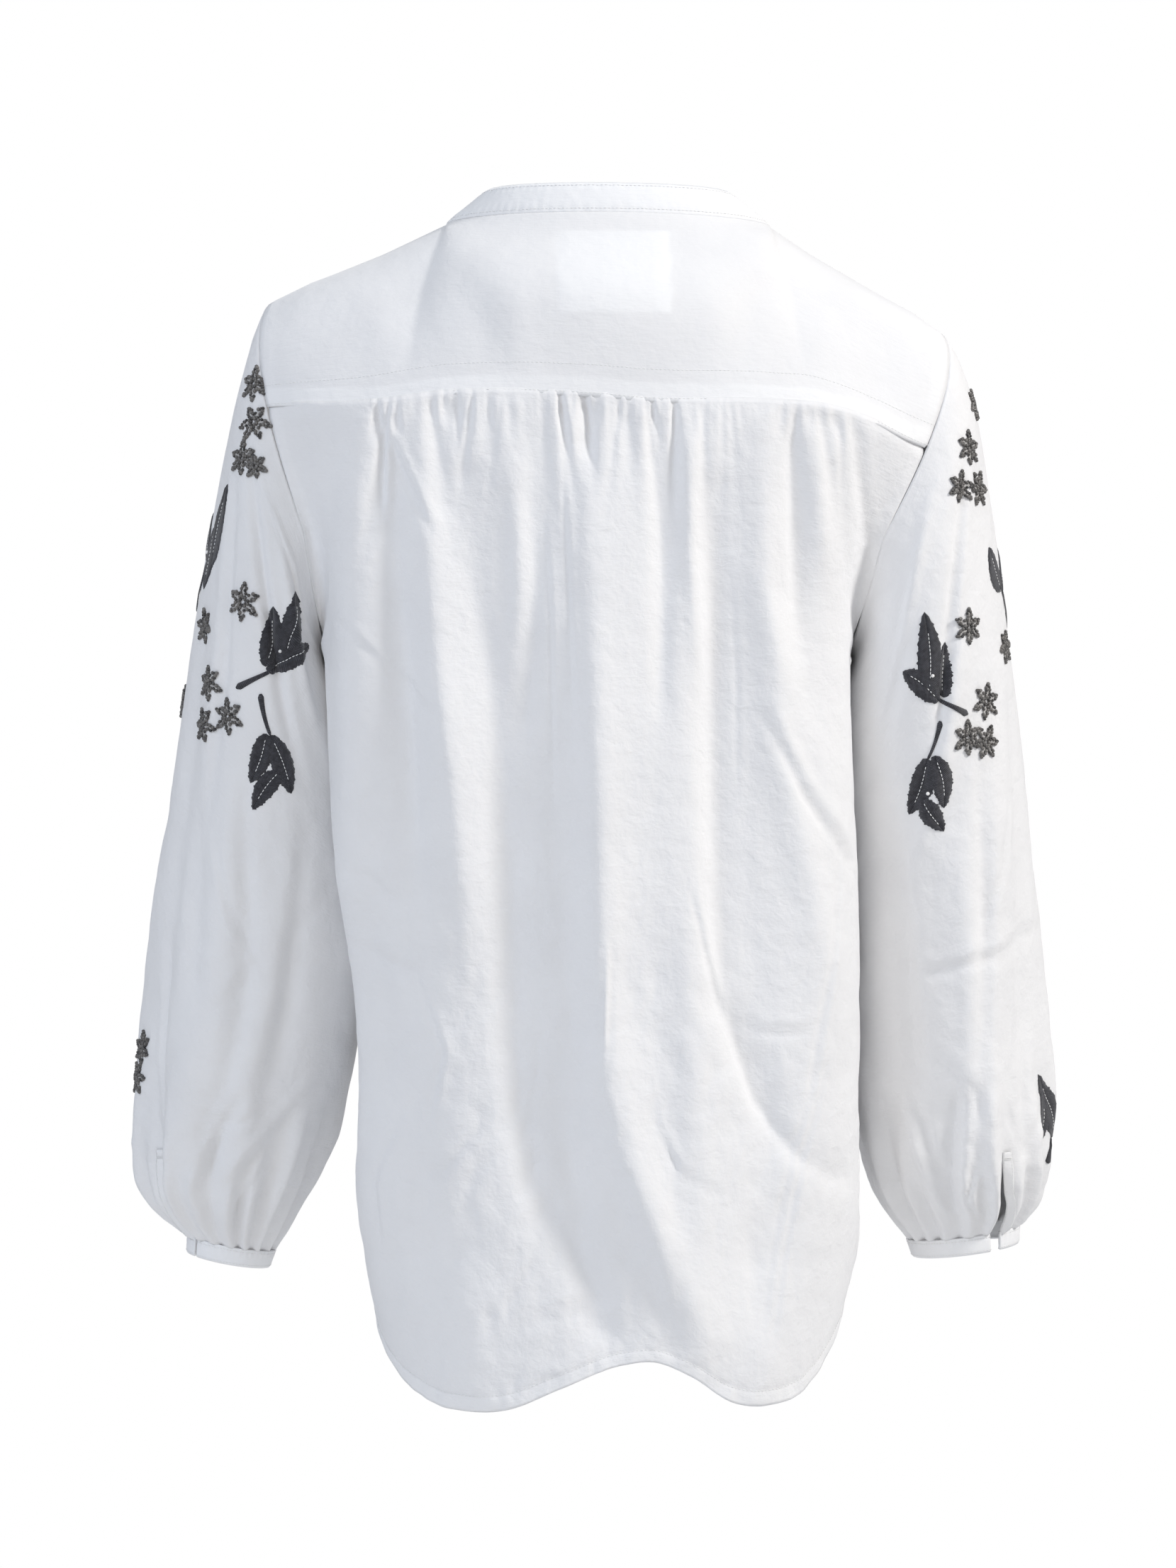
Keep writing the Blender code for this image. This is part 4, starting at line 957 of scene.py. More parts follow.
# on the sides that the photo hides
hiddenFolds = [
    (0.1, -80, 0.5, -150, 12, 4.5), (0.3, -40, 0.92, -50, 12, -4.5), (0.5, -100, 0.95, -95, 12, 4),
]
hiddenCreases = [
    (3.5, -1.5, 0.5, [(0.3, -60), (0.4, -90), (0.46, -130)]), (3.5, -1.5, 0.5, [(0.66, -80), (0.72, -50)]),
]
sleeves = {
    "left": {
        "ring": leftArmhole, "slitAngle": 44, "slitWidth": 1.5, "seed": 41,
        # from, to and depth of the fullness that closes the gap to the body
        "against": (0.015, 0.70, 15.0),
        # along, outer x, outer z, inner x, inner z, middle y, half depth
        "table": [
            (0, 207, -50, 175, -275, 0, 62), (0.1, 228, -110, 175, -300, -2, 66),
            (0.22, 246, -182, 171.5, -335, -8, 70), (0.34, 260, -254, 168.5, -375, -18, 71),
            (0.46, 271, -326, 163.5, -420, -27, 72), (0.58, 282, -398, 157.5, -470, -35, 73),
            (0.7, 292, -470, 157, -520, -40, 72), (0.81, 299, -542, 168, -566, -41, 70),
            (0.89, 298, -590, 180, -598, -43, 62), (0.95, 291, -621, 196, -628, -44, 50),
            (0.985, 278, -637, 207, -648, -45, 37), (1, 268, -646, 212, -657, -45, 31),
        ],
        # along and angle at the top, along and angle at the bottom, half width, depth outwards
        "folds": [
            (0.06, 95, 0.34, 165, 9, 6.5), (0.08, 66, 0.4, 138, 9, -6.5), (0.24, 110, 0.62, 175, 10, 4),
            (0.3, 35, 0.88, 40, 10, -4), (0.46, 75, 0.95, 62, 11, 4), (0.52, 120, 0.95, 105, 12, -4.5),
            (0.55, 10, 0.95, 5, 12, 3.5), *hiddenFolds,
        ],
        # half width, depth, lip, line of along and angle
        "creases": [
            (3.5, 2, 0.6, [(0.077, 72), (0.065, 94), (0.062, 106), (0.085, 125), (0.04, 160)]),
            (4, -2, 0.5, [(0.395, 176), (0.503, 135), (0.573, 118)]),
            (9, -3.4, 0.2, [(0.48, 48), (0.743, 67)]),
            (6, -3.4, 0.6, [(0.4, 128), (0.6, 116), (0.84, 108)]),
            (6, -3, 0.6, [(0.44, 84), (0.66, 90), (0.9, 84)]),
            (5, -2.8, 0.6, [(0.14, 50), (0.34, 62), (0.5, 60)]),
            (3, -1.8, 0.6, [(0.66, 34), (0.76, 40), (0.88, 52)]),
            (2.4, -1.5, 0.6, [(0.52, 66), (0.6, 80), (0.66, 102)]),
            (5, -3.6, 0.7, [(0.74, 150), (0.84, 124), (0.93, 92)]),
            (4, -3, 0.7, [(0.8, 96), (0.88, 84), (0.95, 74)]),
            (3, -2.4, 0.7, [(0.86, 122), (0.92, 112), (0.97, 104)]),
            (3, -1.2, 0.5, [(0.62, 100), (0.7, 82), (0.74, 60)]),
            (3, -1.1, 0.5, [(0.8, 120), (0.84, 95), (0.83, 70)]),
            *hiddenCreases,
        ],
    },
    "right": {
        "ring": rightArmhole, "slitAngle": 62, "slitWidth": 7.0, "seed": 57, "against": (0.015, 0.88, 14.0),
        "table": [
            (0, -209, -69, -155, -270, 0, 62), (0.1, -229, -110, -159, -296, -2, 66),
            (0.22, -245, -182, -158, -332, -8, 69), (0.34, -256, -254, -159.5, -374, -18, 70),
            (0.46, -266, -326, -161.5, -418, -28, 71), (0.58, -274, -398, -162.5, -468, -36, 72),
            (0.7, -279, -470, -162.5, -518, -42, 71), (0.81, -285, -542, -163.5, -566, -45, 68),
            (0.89, -284, -588, -168, -602, -45, 62), (0.95, -281, -613, -180, -628, -46, 54),
            (0.985, -276, -629, -190, -642, -46, 45), (1, -268, -640, -196, -650, -46, 38),
        ],
        "folds": [
            (0.05, 80, 0.3, 150, 9, 4.5), (0.1, 100, 0.42, 165, 11, -6), (0.26, 60, 0.52, 120, 10, 3.5),
            (0.4, 30, 0.9, 45, 11, -4), (0.5, 85, 0.95, 75, 12, 4.5), (0.55, 125, 0.95, 110, 12, -4),
            (0.6, 5, 0.95, 8, 12, 3.5), *hiddenFolds,
        ],
        "creases": [
            (4, -2.2, 0.5, [(0.14, 178), (0.28, 150), (0.422, 126)]),
            (3.5, -2.2, 0.5, [(0.56, 161), (0.647, 104), (0.667, 59), (0.66, 7)]),
            (6, -3.4, 0.6, [(0.36, 132), (0.56, 124), (0.8, 118)]),
            (6, -3, 0.6, [(0.46, 66), (0.66, 74), (0.9, 84)]),
            (5, -2.8, 0.6, [(0.12, 56), (0.26, 80), (0.36, 92)]),
            (3, -2, 0.6, [(0.74, 130), (0.84, 112), (0.92, 104)]),
            (2.4, -1.6, 0.6, [(0.5, 40), (0.58, 56), (0.63, 80)]),
            (2.4, -1.6, 0.6, [(0.84, 28), (0.9, 48)]),
            (4, -3.2, 0.7, [(0.8, 92), (0.88, 96), (0.96, 104)]),
            (3, -2.6, 0.7, [(0.82, 128), (0.9, 120), (0.97, 112)]),
            (2.4, -2, 0.7, [(0.9, 84), (0.94, 92), (0.98, 88)]),
            (3, -1.3, 0.5, [(0.24, 60), (0.3, 84), (0.38, 96)]),
            (3, -1.3, 0.5, [(0.74, 110), (0.8, 84), (0.86, 76)]),
            (3, -1.2, 0.5, [(0.78, 40), (0.86, 48)]),
            *hiddenCreases,
        ],
    },
}


def smoothSleeve(sleeve, along, turn):
    table, ring = sleeve["table"], sleeve["ring"]
    share = (1 - np.cos(turn)) / 2

    def oval(outerX, outerZ, innerX, innerZ, middleY, depth):
        across, fall = (innerX - outerX) * share, (innerZ - outerZ) * share
        return np.stack([outerX + across, middleY + depth * np.sin(turn), outerZ + fall], -1)

    points = oval(*(smooth(column(table, 0), column(table, which), along) for which in range(1, 7)))
    blend = clamp(1 - along / 0.3)[..., None] ** 2
    points = points + (armhole(ring, turn) - oval(*table[0][1:])) * blend
    atTip = clamp(np.cos(turn)) * clamp(1 - along / 0.3)
    clear = (0.8 + 1.6 * atTip + 0.6 * share) * np.clip(along / 0.03, 0.1, 1)
    points[..., 0] += math.copysign(1, table[0][1]) * clear
    return points


def cuffAxis(table):
    across = np.array([table[-1][1] - table[-1][3], table[-1][2] - table[-1][4]], float)
    return unit(np.array([across[1], 0, -across[0]]) * math.copysign(1, table[0][1]))


def acrossAxis(vectors, axis):
    return unit(vectors - np.sum(vectors * axis, axis=-1, keepdims=True) * axis)


def makeSleeve(name, sleeve, look):
    start = math.radians(sleeve["slitAngle"])
    columns = look["gathers"] * look["columnsPerGather"] + 1
    alongs = np.concatenate([np.linspace(0, 0.80, 105)[:-1], np.linspace(0.80, 1, 52)])
    turns = start + np.linspace(0, 2 * math.pi, columns)
    along, turn = np.meshgrid(alongs, turns, indexing="ij")
    rows = smoothSleeve(sleeve, along, turn)
    normals = gridNormals(rows, rows - rows[:, :-1].mean(axis=1, keepdims=True), 2)
    ends = unit(normals[:, 0] + normals[:, -1])
    normals[:, 0] = normals[:, -1] = ends
    degrees = (np.degrees(turn) + 180) % 360 - 180
    perDegree = look["radius"] * math.pi / 180
    down, around = along * look["length"], degrees * perDegree
    grow = clamp(along / 0.12) * clamp((1 - along) / 0.06)
    long = look["length"]
    folds = [(a * long, b * perDegree, c * long, d * perDegree, w, h) for a, b, c, d, w, h in sleeve["folds"]]
    creases = [
        (w, h, lip, [(a * long, b * perDegree) for a, b in path]) for w, h, lip, path in sleeve["creases"]
    ]
    inwardSide = clamp((np.abs(degrees) - 100) / 40)
    push = foldField(folds, down, around) * (1 - 0.85 * inwardSide) - 1.0 * inwardSide
    push = push * grow
    low, high, depth = sleeve["against"]
    held = np.sin(clamp((along - low) / 0.12) * math.pi / 2) ** 2 * clamp((high - along) / 0.12)
    push += depth * held * hump(180 - np.abs(degrees), 36)
    push += creaseField(creases, down, around) * (1 - 0.8 * inwardSide) * clamp(along / 0.03)
    girth = 2 * math.pi * look["radius"]
    wrapped = (turn - start) / (2 * math.pi) * girth
    lower = 0.45 + 0.75 * clamp((along - 0.35) / 0.4) + 0.7 * clamp((along - 0.72) / 0.15)
    push += look["crumple"] * crumple(
        wrapped, down, sleeve["seed"], look["crumpleSize"], girth
    ) * lower * grow * (1 - 0.4 * inwardSide)
    # gathers at the cuff run together in pairs further up
    count = (turn - start) / math.pi * look["gathers"]
    ease = clamp(np.minimum(count, 2 * look["gathers"] - count) / 2)
    uneven = 1 + ease * (0.35 * np.sin(2.3 * count) + 0.25 * np.sin(0.9 * count + 2))
    drift = 0.5 * ease * np.sin(0.8 * count)
    fine = -np.cos(math.pi * count + drift)
    pair = -np.cos(math.pi * count / 2 + 0.5 + drift)
    broad = -np.cos(2 * math.pi * count / 12 + 1.3)
    puff = look["puff"] * hump(along - look["puffAt"], 0.6 * look["puffReach"])
    push += (puff * 0.62 * clamp((1 - along) / 0.02) + look["atCuff"] * clamp((along - 0.9) / 0.1)) * fine * uneven
    push += pair * uneven * 3.4 * hump(along - 0.875, 0.07)
    push += broad * 3.4 * hump(along - 0.78, 0.12) * (1 - 0.6 * inwardSide)
    toRing = along * look["length"]
    push -= 0.6 * hump(toRing, 2.5)
    push -= 1.2 * clamp(toRing / 5) * hump(toRing, 15) * hump(degrees - 125, 42)
    normals[-1] = acrossAxis(normals[-1], cuffAxis(sleeve["table"]))
    rows = rows + normals * push[..., None]
    # the slit opens towards the cuff
    apart = unit(np.cross(normals[:, 0], np.gradient(rows[:, 0], axis=0)))
    if np.sum((rows[:, 3] - rows[:, 0]) * apart) < 0:
        apart = -apart
    apart[-1] = acrossAxis(apart[-1], cuffAxis(sleeve["table"]))
    opened = alongs > look["slitFrom"]
    widening = np.interp(alongs, [look["slitFrom"], 0.95, 0.98, 1.0], [0, 0.34, 0.67, 1])
    spread = np.where(opened, 0.25 + sleeve["slitWidth"] / 2 * widening, 0)
    for k in range(look["slitColumns"]):
        ease = (1 - k / look["slitColumns"]) ** 1.6
        rows[:, k] += apart * (spread * ease)[:, None]
        rows[:, -1 - k] -= apart * (spread * ease)[:, None]
    ids = np.arange(rows.size // 3).reshape(rows.shape[:2])
    ids[~opened, -1] = ids[~opened, 0]
    surface = gridNormals(rows, rows - rows[:, :-1].mean(axis=1, keepdims=True))
    toSlit = np.minimum(np.arange(columns), np.arange(columns)[::-1])[None, :] * girth / columns
    # the slit's turned edge and the armhole allowance are painted whiter where doubled: painted light for less of
    # the shaded inside showing through
    doubled = 0.5 * relief(toSlit, -5, 7, 1.5) * clamp((along - 0.885) / 0.01) + 0.3 * relief(toRing, -5, 6, 2.0)
    sleeve.update(rows=rows, normals=surface, alongs=alongs, start=start)
    return clothPiece(name, rows, surface, whiteCotton, (500, 600), ids=ids, doubled=clamp(doubled))


arms = {side: makeSleeve("sleeve" + side.capitalize(), sleeve, sleeveLook) for side, sleeve in sleeves.items()}
print("sleeves made")

# cuffs and plackets are doubled, and their doubled share is painted whiter: painted light
cuffLook = {
    "height": 11.0, "thickness": 1.6, "turns": 190, "rows": 12, "slim": 0.05,
    "pucker": 0.25, "puckerPitch": 5.2, "doubled": 0.7,
}
placketLook = {"from": 0.885, "width": 6.5, "lift": 0.6, "doubled": 0.3, "thickness": 0.7}


def makeCuff(name, sleeve, look):
    table = sleeve["table"]
    left = math.copysign(1, table[0][1])
    outer, inner = np.array(table[-1][1:3], float), np.array(table[-1][3:5], float)
    down = cuffAxis(table)
    gap = (sleeve["slitWidth"] / 2 + 0.4) / table[-1][6]
    turns = sleeve["start"] + np.linspace(gap, 2 * math.pi - gap, look["turns"])
    share = np.linspace(-0.06, 1, look["rows"])[:, None]
    shrink = 1 - look["slim"] * clamp(share) - 0.02 * clamp((share - 0.85) / 0.15) ** 2
    centre = (outer + inner) / 2 + down[[0, 2]] * (0.4 + look["height"] * share)[..., None]
    half = (outer - inner) / 2
    rows = np.stack(
        [
            centre[..., 0] + half[0] * shrink * np.cos(turns) + left * 0.35,
            table[-1][5] + table[-1][6] * shrink * np.sin(turns),
            centre[..., 1] + half[1] * shrink * np.cos(turns),
        ],
        -1,
    )
    normals = acrossAxis(gridNormals(rows, rows - rows.mean(axis=(0, 1))), down)
    run = turns * 34
    pucker = np.sin(2 * math.pi * run / look["puckerPitch"] + 1.5 * np.sin(run * 0.1)) * look["pucker"]
    push = 0.5 + pucker * hump(share - 0.05, 0.3) + 0.4 * crumple(run, share * look["height"], 71, 12.0)
    push = push - 0.25 * hump(share - 0.14, 0.06) - 0.25 * hump(share - 0.86, 0.06)
    rows = rows + normals * push[..., None]
    worn = {"doubled": look["doubled"], "thickness": look["thickness"]}
    return clothPiece(name, rows, normals, bandCotton, (220, 12), **worn)


def makePlacket(name, sleeve, look):
    rows, normals, alongs = sleeve["rows"], sleeve["normals"], sleeve["alongs"]
    chosen = np.flatnonzero(alongs >= look["from"])
    edge, side = rows[chosen, -1], rows[chosen, -6]
    across = unit(side - edge)
    out = unit(normals[chosen, -1] + normals[chosen, -4])
    lines = []
    for share in np.linspace(0, 1, 9):
        width = share * look["width"]
        bow = look["lift"] + 0.35 * math.sin(math.pi * share) ** 0.5
        reach = np.minimum(width, share * 0.95 * np.linalg.norm(side - edge, axis=1) * 1.4)
        lines.append(edge + across * reach[:, None] + out * bow)
    grid = np.stack(lines, 1)
    last = grid[-1] + 0.6 * (grid[-1] - grid[-2])
    grid = np.concatenate([grid, last[None]])
    way = np.repeat(np.concatenate([out, out[-1:]])[:, None], 9, axis=1)
    worn = {"doubled": look["doubled"], "thickness": look["thickness"]}
    return clothPiece(name, grid, way, whiteCotton, (8, 66), **worn)


def yokeAt(x, z):
    # the yoke's place and normal behind a given x and z
    _, yokeRows, yokeNormals = yoke
    gap = np.hypot(yokeRows[1:-1, 1:-1, 0] - x, yokeRows[1:-1, 1:-1, 2] - z)
    i, j = np.unravel_index(np.argmin(gap), gap.shape)
    corner = yokeRows[i + 1, j + 1]
    across, down = yokeRows[i + 1, j + 2] - corner, yokeRows[i + 2, j + 1] - corner
    share = np.linalg.solve([[across[0], down[0]], [across[2], down[2]]], [x - corner[0], z - corner[2]])
    return corner + across * share[0] + down * share[1], yokeNormals[i + 1, j + 1]


def makeLabel(edges):
    left, right, high, low = edges
    found = [[yokeAt(x, z) for x in np.linspace(left, right, 24)] for z in np.linspace(high, low, 20)]
    normals = np.array([[normal for _, normal in line] for line in found])
    grid = np.array([[place for place, _ in line] for line in found]) - 1.5 * normals
    return clothPiece("neckLabel", grid, normals, labelCloth, (70, 55), thickness=0.5)


cuffs, plackets = (
    {side: make(what + side.capitalize(), sleeve, look) for side, sleeve in sleeves.items()}
    for what, make, look in (("cuff", makeCuff, cuffLook), ("placket", makePlacket, placketLook))
)
neckLabel = makeLabel(yokeLook["label"])
print("cuffs, plackets and label made")

hiddenLeaves = [(0.56, -62, 0.46, -48, 6.6), (0.56, -64, 0.48, -78, 6.4), (0.575, -66, 0.53, -90, 6)]
motifs = {
    "left": {
        # along, angle, size across, turn of the star
        "flowers": [
            (0.022, 53, 21, 10), (0.045, 61, 21, 35), (0.105, 55, 21, 5), (0.075, 69, 14, 20), (0.238, 71, 23, 0),
            (0.326, 34, 21, 25), (0.37, 50, 21, 15), (0.419, 49, 21, 28), (0.381, 68, 22, 12), (0.422, 2, 20, 20),
            (0.782, 18, 20, 10), (0.812, 16, 20, 35), (0.15, -30, 21, 12), (0.3, -44, 21, 5), (0.43, -66, 20, 22),
            (0.24, -82, 22, 18), (0.8, -40, 20, 8),
        ],
        # base along and angle, tip along and angle, half width
        "leaves": [
            (0.266, 93, 0.173, 96, 6.4), (0.21, 108, 0.084, 113, 6.3), (0.269, 95, 0.103, 132, 6.6),
            (0.346, 97, 0.43, 87, 6.4), (0.341, 100, 0.389, 116, 6.8), (0.372, 108, 0.46, 89, 6.2),
            (0.262, 33, 0.163, 41, 9), (0.226, 28, 0.296, 24, 8.4), (0.266, 24, 0.222, 2, 6.6),
            *hiddenLeaves,
            (0.3, -112, 0.2, -98, 6.4), (0.3, -114, 0.23, -130, 6.2),
        ],
        # start along and angle, end along and angle, half width
        "stems": [
            (0.262, 97, 0.339, 73, 1.7), (0.342, 100, 0.307, 91, 1.5), (0.264, 24, 0.326, 2, 1.6),
            (0.565, -63, 0.63, -50, 1.4), (0.305, -113, 0.36, -100, 1.3),
        ],
        "pearls": [(0.209, 105), (0.258, 22), (0.545, -68)],
    },
    "right": {
        "flowers": [
            (0.114, 47, 21, 10), (0.131, 60, 19, 15), (0.171, 40, 22, 32), (0.283, 65, 21, 8), (0.355, 26, 20, 25),
            (0.383, 56, 22, 18), (0.399, 73, 21, 5), (0.425, 60, 21, 33), (0.1, 23, 20, 20), (0.22, -46, 21, 12),
            (0.4, -36, 20, 5), (0.34, -80, 22, 22), (0.82, -46, 20, 8),
        ],
        "leaves": [
            (0.301, 97, 0.189, 95, 7.6), (0.325, 86, 0.266, 81, 4.6), (0.321, 90, 0.217, 114, 7.4),
            (0.372, 101, 0.421, 116, 6.8), (0.378, 96, 0.453, 93, 6.4), (0.418, 106, 0.481, 94, 6.2),
            (0.299, 22, 0.241, 35, 9.6), (0.302, 17, 0.258, -4, 6.8), (0.881, 4, 0.807, 26, 7.4),
            (0.883, 18, 0.823, 20, 6),
            *hiddenLeaves,
            (0.28, -112, 0.18, -98, 6.4), (0.28, -114, 0.21, -130, 6.2),
        ],
        "stems": [
            (0.318, 90, 0.373, 72, 1.7), (0.374, 101, 0.346, 90, 1.2), (0.298, 18, 0.346, -4, 1.4),
            (0.88, 8, 0.916, 14, 1.3), (0.565, -63, 0.63, -50, 1.4), (0.285, -113, 0.34, -100, 1.3),
        ],
        "pearls": [(0.280, 93), (0.417, 102), (0.545, -68)],
    },
}
leafLook = {"rise": 0.95, "bow": 0.045, "serration": 1.05, "serrationPitch": 2.2, "along": 44, "across": 15}
flowerLook = {"bead": 1.95, "petals": 6, "beadsPerPetal": 9, "loopWidth": 0.18}


def onCloth(sleeve, along, degrees, lift):
    rows, normals = sleeve["rows"], sleeve["normals"]
    i = np.clip(np.interp(along, sleeve["alongs"], np.arange(len(rows))), 0, len(rows) - 1.001)
    j = ((np.radians(degrees) - sleeve["start"]) % (2 * math.pi)) / (2 * math.pi) * (rows.shape[1] - 1)
    j = np.clip(j, 0, rows.shape[1] - 1.001)
    lowI, lowJ = np.floor(i).astype(int), np.floor(j).astype(int)
    shareI, shareJ = (i - lowI)[..., None], (j - lowJ)[..., None]

    def blend(grid):
        upper = grid[lowI, lowJ] * (1 - shareJ) + grid[lowI, lowJ + 1] * shareJ
        lower = grid[lowI + 1, lowJ] * (1 - shareJ) + grid[lowI + 1, lowJ + 1] * shareJ
        return upper * (1 - shareI) + lower * shareI

    return blend(rows) + np.asarray(lift, float)[..., None] * unit(blend(normals))


def slopes(sleeve, along, degrees):
    turn = np.radians(degrees)
    stepAlong, stepTurn = 0.005, 0.02
    up, down = (smoothSleeve(sleeve, along + step, turn) for step in (-stepAlong, stepAlong))
    back, ahead = (smoothSleeve(sleeve, along, turn + step) for step in (-stepTurn, stepTurn))
    return (down - up) / (2 * stepAlong), (ahead - back) / np.degrees(2 * stepTurn)


def stepped(sleeve, along, degrees, offset):
    # where a step in the cloth, in mm, leads to
    perAlong, perDegree = slopes(sleeve, along, degrees)
    aa, ab, bb = (np.sum(product, -1) for product in (perAlong**2, perAlong * perDegree, perDegree**2))
    fa, fb = np.sum(offset * perAlong, -1), np.sum(offset * perDegree, -1)
    det = aa * bb - ab * ab
    return along + (fa * bb - fb * ab) / det, degrees + (fb * aa - fa * ab) / det


def motifGrid(sleeve, base, tip, widths, places, lift, curve=0.0):
    # a strip from base to tip: widths along it, places across it from -1 to 1
    share = np.linspace(0, 1, len(widths))
    along = base[0] + (tip[0] - base[0]) * share
    degrees = base[1] + (tip[1] - base[1]) * share
    perAlong, perDegree = slopes(sleeve, along, degrees)
    way = unit(perAlong * (tip[0] - base[0]) + perDegree * (tip[1] - base[1]))
    across = unit(np.cross(np.cross(perAlong, perDegree), way))
    offset = across[:, None] * (widths[:, None] * places + curve * np.sin(math.pi * share)[:, None])[..., None]
    wideAlong = np.repeat(along[:, None], len(places), 1)
    wideDegrees = np.repeat(degrees[:, None], len(places), 1)
    wideAlong, wideDegrees = stepped(sleeve, wideAlong, wideDegrees, offset)
    return onCloth(sleeve, wideAlong, wideDegrees, lift)


def patchwork(name, patches, finish):
    # many small grids as one mesh; each carries its length and breadth as UV
    points, quads, uvs = [], [], []
    for grid, runs, breadths in patches:
        rows, columns = grid.shape[:2]
        start = len(points)
        points += (grid.reshape(-1, 3) * mm).tolist()
        flat = np.stack([runs, breadths], -1) * mm
        numbers = np.arange(rows * columns).reshape(rows, columns) + start
        middle = grid[rows // 2, columns // 2]
        side = np.cross(grid[rows // 2 + 1, columns // 2] - middle, grid[rows // 2, columns // 2 + 1] - middle)
        turned = np.dot(side, middle - grid.mean(axis=(0, 1)) + 1e-6) < 0
        corners = squareCorners[::-1] if turned else squareCorners
        quads += inSquares(numbers, corners, -1).reshape(-1, 4).tolist()
        uvs.append(inSquares(flat, corners, -2).reshape(-1))
    mesh = bpy.data.meshes.new(name)
    mesh.from_pydata(points, [], quads)
    mesh.uv_layers.new(name="stitch").data.foreach_set("uv", np.concatenate(uvs).astype(np.float32))
    mesh.shade_smooth()
    piece = link(name, mesh, finish)
    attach(piece, "root")
    return piece


def leafLine(sleeve, leaf, look):
    # a leaf's base, tip and length, and how far its middle line bows
    base, tip = leaf[:2], leaf[2:4]
    ends = onCloth(sleeve, np.array([base[0], tip[0]]), np.array([base[1], tip[1]]), np.zeros(2))
    length = np.linalg.norm(ends[1] - ends[0])
    return base, tip, length, look["bow"] * length * (1 if (base[1] * 7 + tip[1]) % 2 < 1 else -1)


def leafPatch(sleeve, leaf, look):
    base, tip, length, bow = leafLine(sleeve, leaf, look)
    share = np.linspace(0, 1, look["along"])
    teeth = round(length / look["serrationPitch"])
    widths = leaf[4] * np.sin(math.pi * share**0.8) ** 0.75
    uneven = 0.75 + 0.45 * np.sin(2.3 * teeth * share + base[1])
    widths = widths + look["serration"] * np.abs(np.sin(math.pi * teeth * share)) * uneven * (widths > 1)
    places = np.linspace(-1, 1, look["across"])
    pillow = np.sin(math.pi * np.abs(places)) ** 0.55
    lift = 0.12 + look["rise"] * pillow * np.minimum(1, widths / 3)[:, None]
    breadth = np.abs(places) * widths[:, None]
    grid = motifGrid(sleeve, base, tip, widths, places, lift, bow)
    return grid, share[:, None] * length + 0.8 * breadth, breadth


def leafMidrib(sleeve, leaf, look):
    base, tip, _, bow = leafLine(sleeve, leaf, look)
    line = motifGrid(sleeve, base, tip, np.zeros(20), np.zeros(1), np.full((20, 1), 0.75), bow)
    return line[3:15, 0]


def stemPatch(sleeve, stem):
    fromAlong, fromAngle, toAlong, toAngle, halfWidth = stem
    share = np.linspace(0, 1, 26)
    widths = halfWidth * (0.72 + 0.7 * share**2) * clamp(np.sin(math.pi * np.clip(share, 0.01, 0.99)) * 4) ** 0.5
    places = np.linspace(-1, 1, 9)
    lift = 0.1 + 1.0 * np.sqrt(1 - 0.98 * places**2) * np.minimum(1, widths)[:, None]
    grid = motifGrid(sleeve, (fromAlong, fromAngle), (toAlong, toAngle), widths, places, lift, 0.8)
    runs = share[:, None] * 25 + 0 * places
    return grid, runs, places * widths[:, None]


def flowerParts(sleeve, flower, look):
    along, angle, size, spin = flower
    perAlong, perDegree = slopes(sleeve, np.array(along), np.array(float(angle)))
    out = unit(np.cross(perAlong, perDegree))
    first, second = unit(perAlong), unit(np.cross(out, perAlong))
    beads, petals = [], []
    for petal in range(look["petals"]):
        heading = math.radians(spin + petal * 360 / look["petals"])
        way = first * math.cos(heading) + second * math.sin(heading)
        cross = -first * math.sin(heading) + second * math.cos(heading)
        reach = size / 2 * (1 + 0.06 * math.sin(5 * petal + along * 40))
        round_ = np.linspace(0, 2 * math.pi, look["beadsPerPetal"], endpoint=False)
        far = reach * (0.56 - 0.36 * np.cos(round_) + 0.05 * np.sin(7 * round_ + 3 * petal))
        wide = size * look["loopWidth"] * 0.5 * np.sin(round_) * (0.75 + 0.35 * far / reach)
        beads.append(way * far[:, None] + cross * wide[:, None])
        beads.append(np.stack([way * reach * 1.02, way * reach * 0.84 + cross, way * reach * 0.62 - cross]))
        runs, breadths = np.meshgrid(np.linspace(0.12, 0.9, 8), np.linspace(-1, 1, 5), indexing="ij")
        width = size * look["loopWidth"] * 0.42 * np.sin(math.pi * clamp((runs - 0.1) / 0.85)) ** 0.7
        runs, breadths = runs * reach, width * breadths
        petals.append((way * runs[..., None] + cross * breadths[..., None], runs, breadths))
    beads = np.concatenate(beads)
    a, d = stepped(sleeve, np.full(len(beads), along), np.full(len(beads), float(angle)), beads)
    places = onCloth(sleeve, a, d, np.full(len(beads), 0.62))
    patches = []
    for grid, runs, breadths in petals:
        a, d = stepped(sleeve, np.full(grid.shape[:2], along), np.full(grid.shape[:2], float(angle)), grid)
        rise = 0.2 + 0.5 * np.sqrt(1 - 0.9 * np.linspace(-1, 1, 5) ** 2) + 0 * runs
        patches.append((onCloth(sleeve, a, d, rise), runs, breadths))
    return places, patches


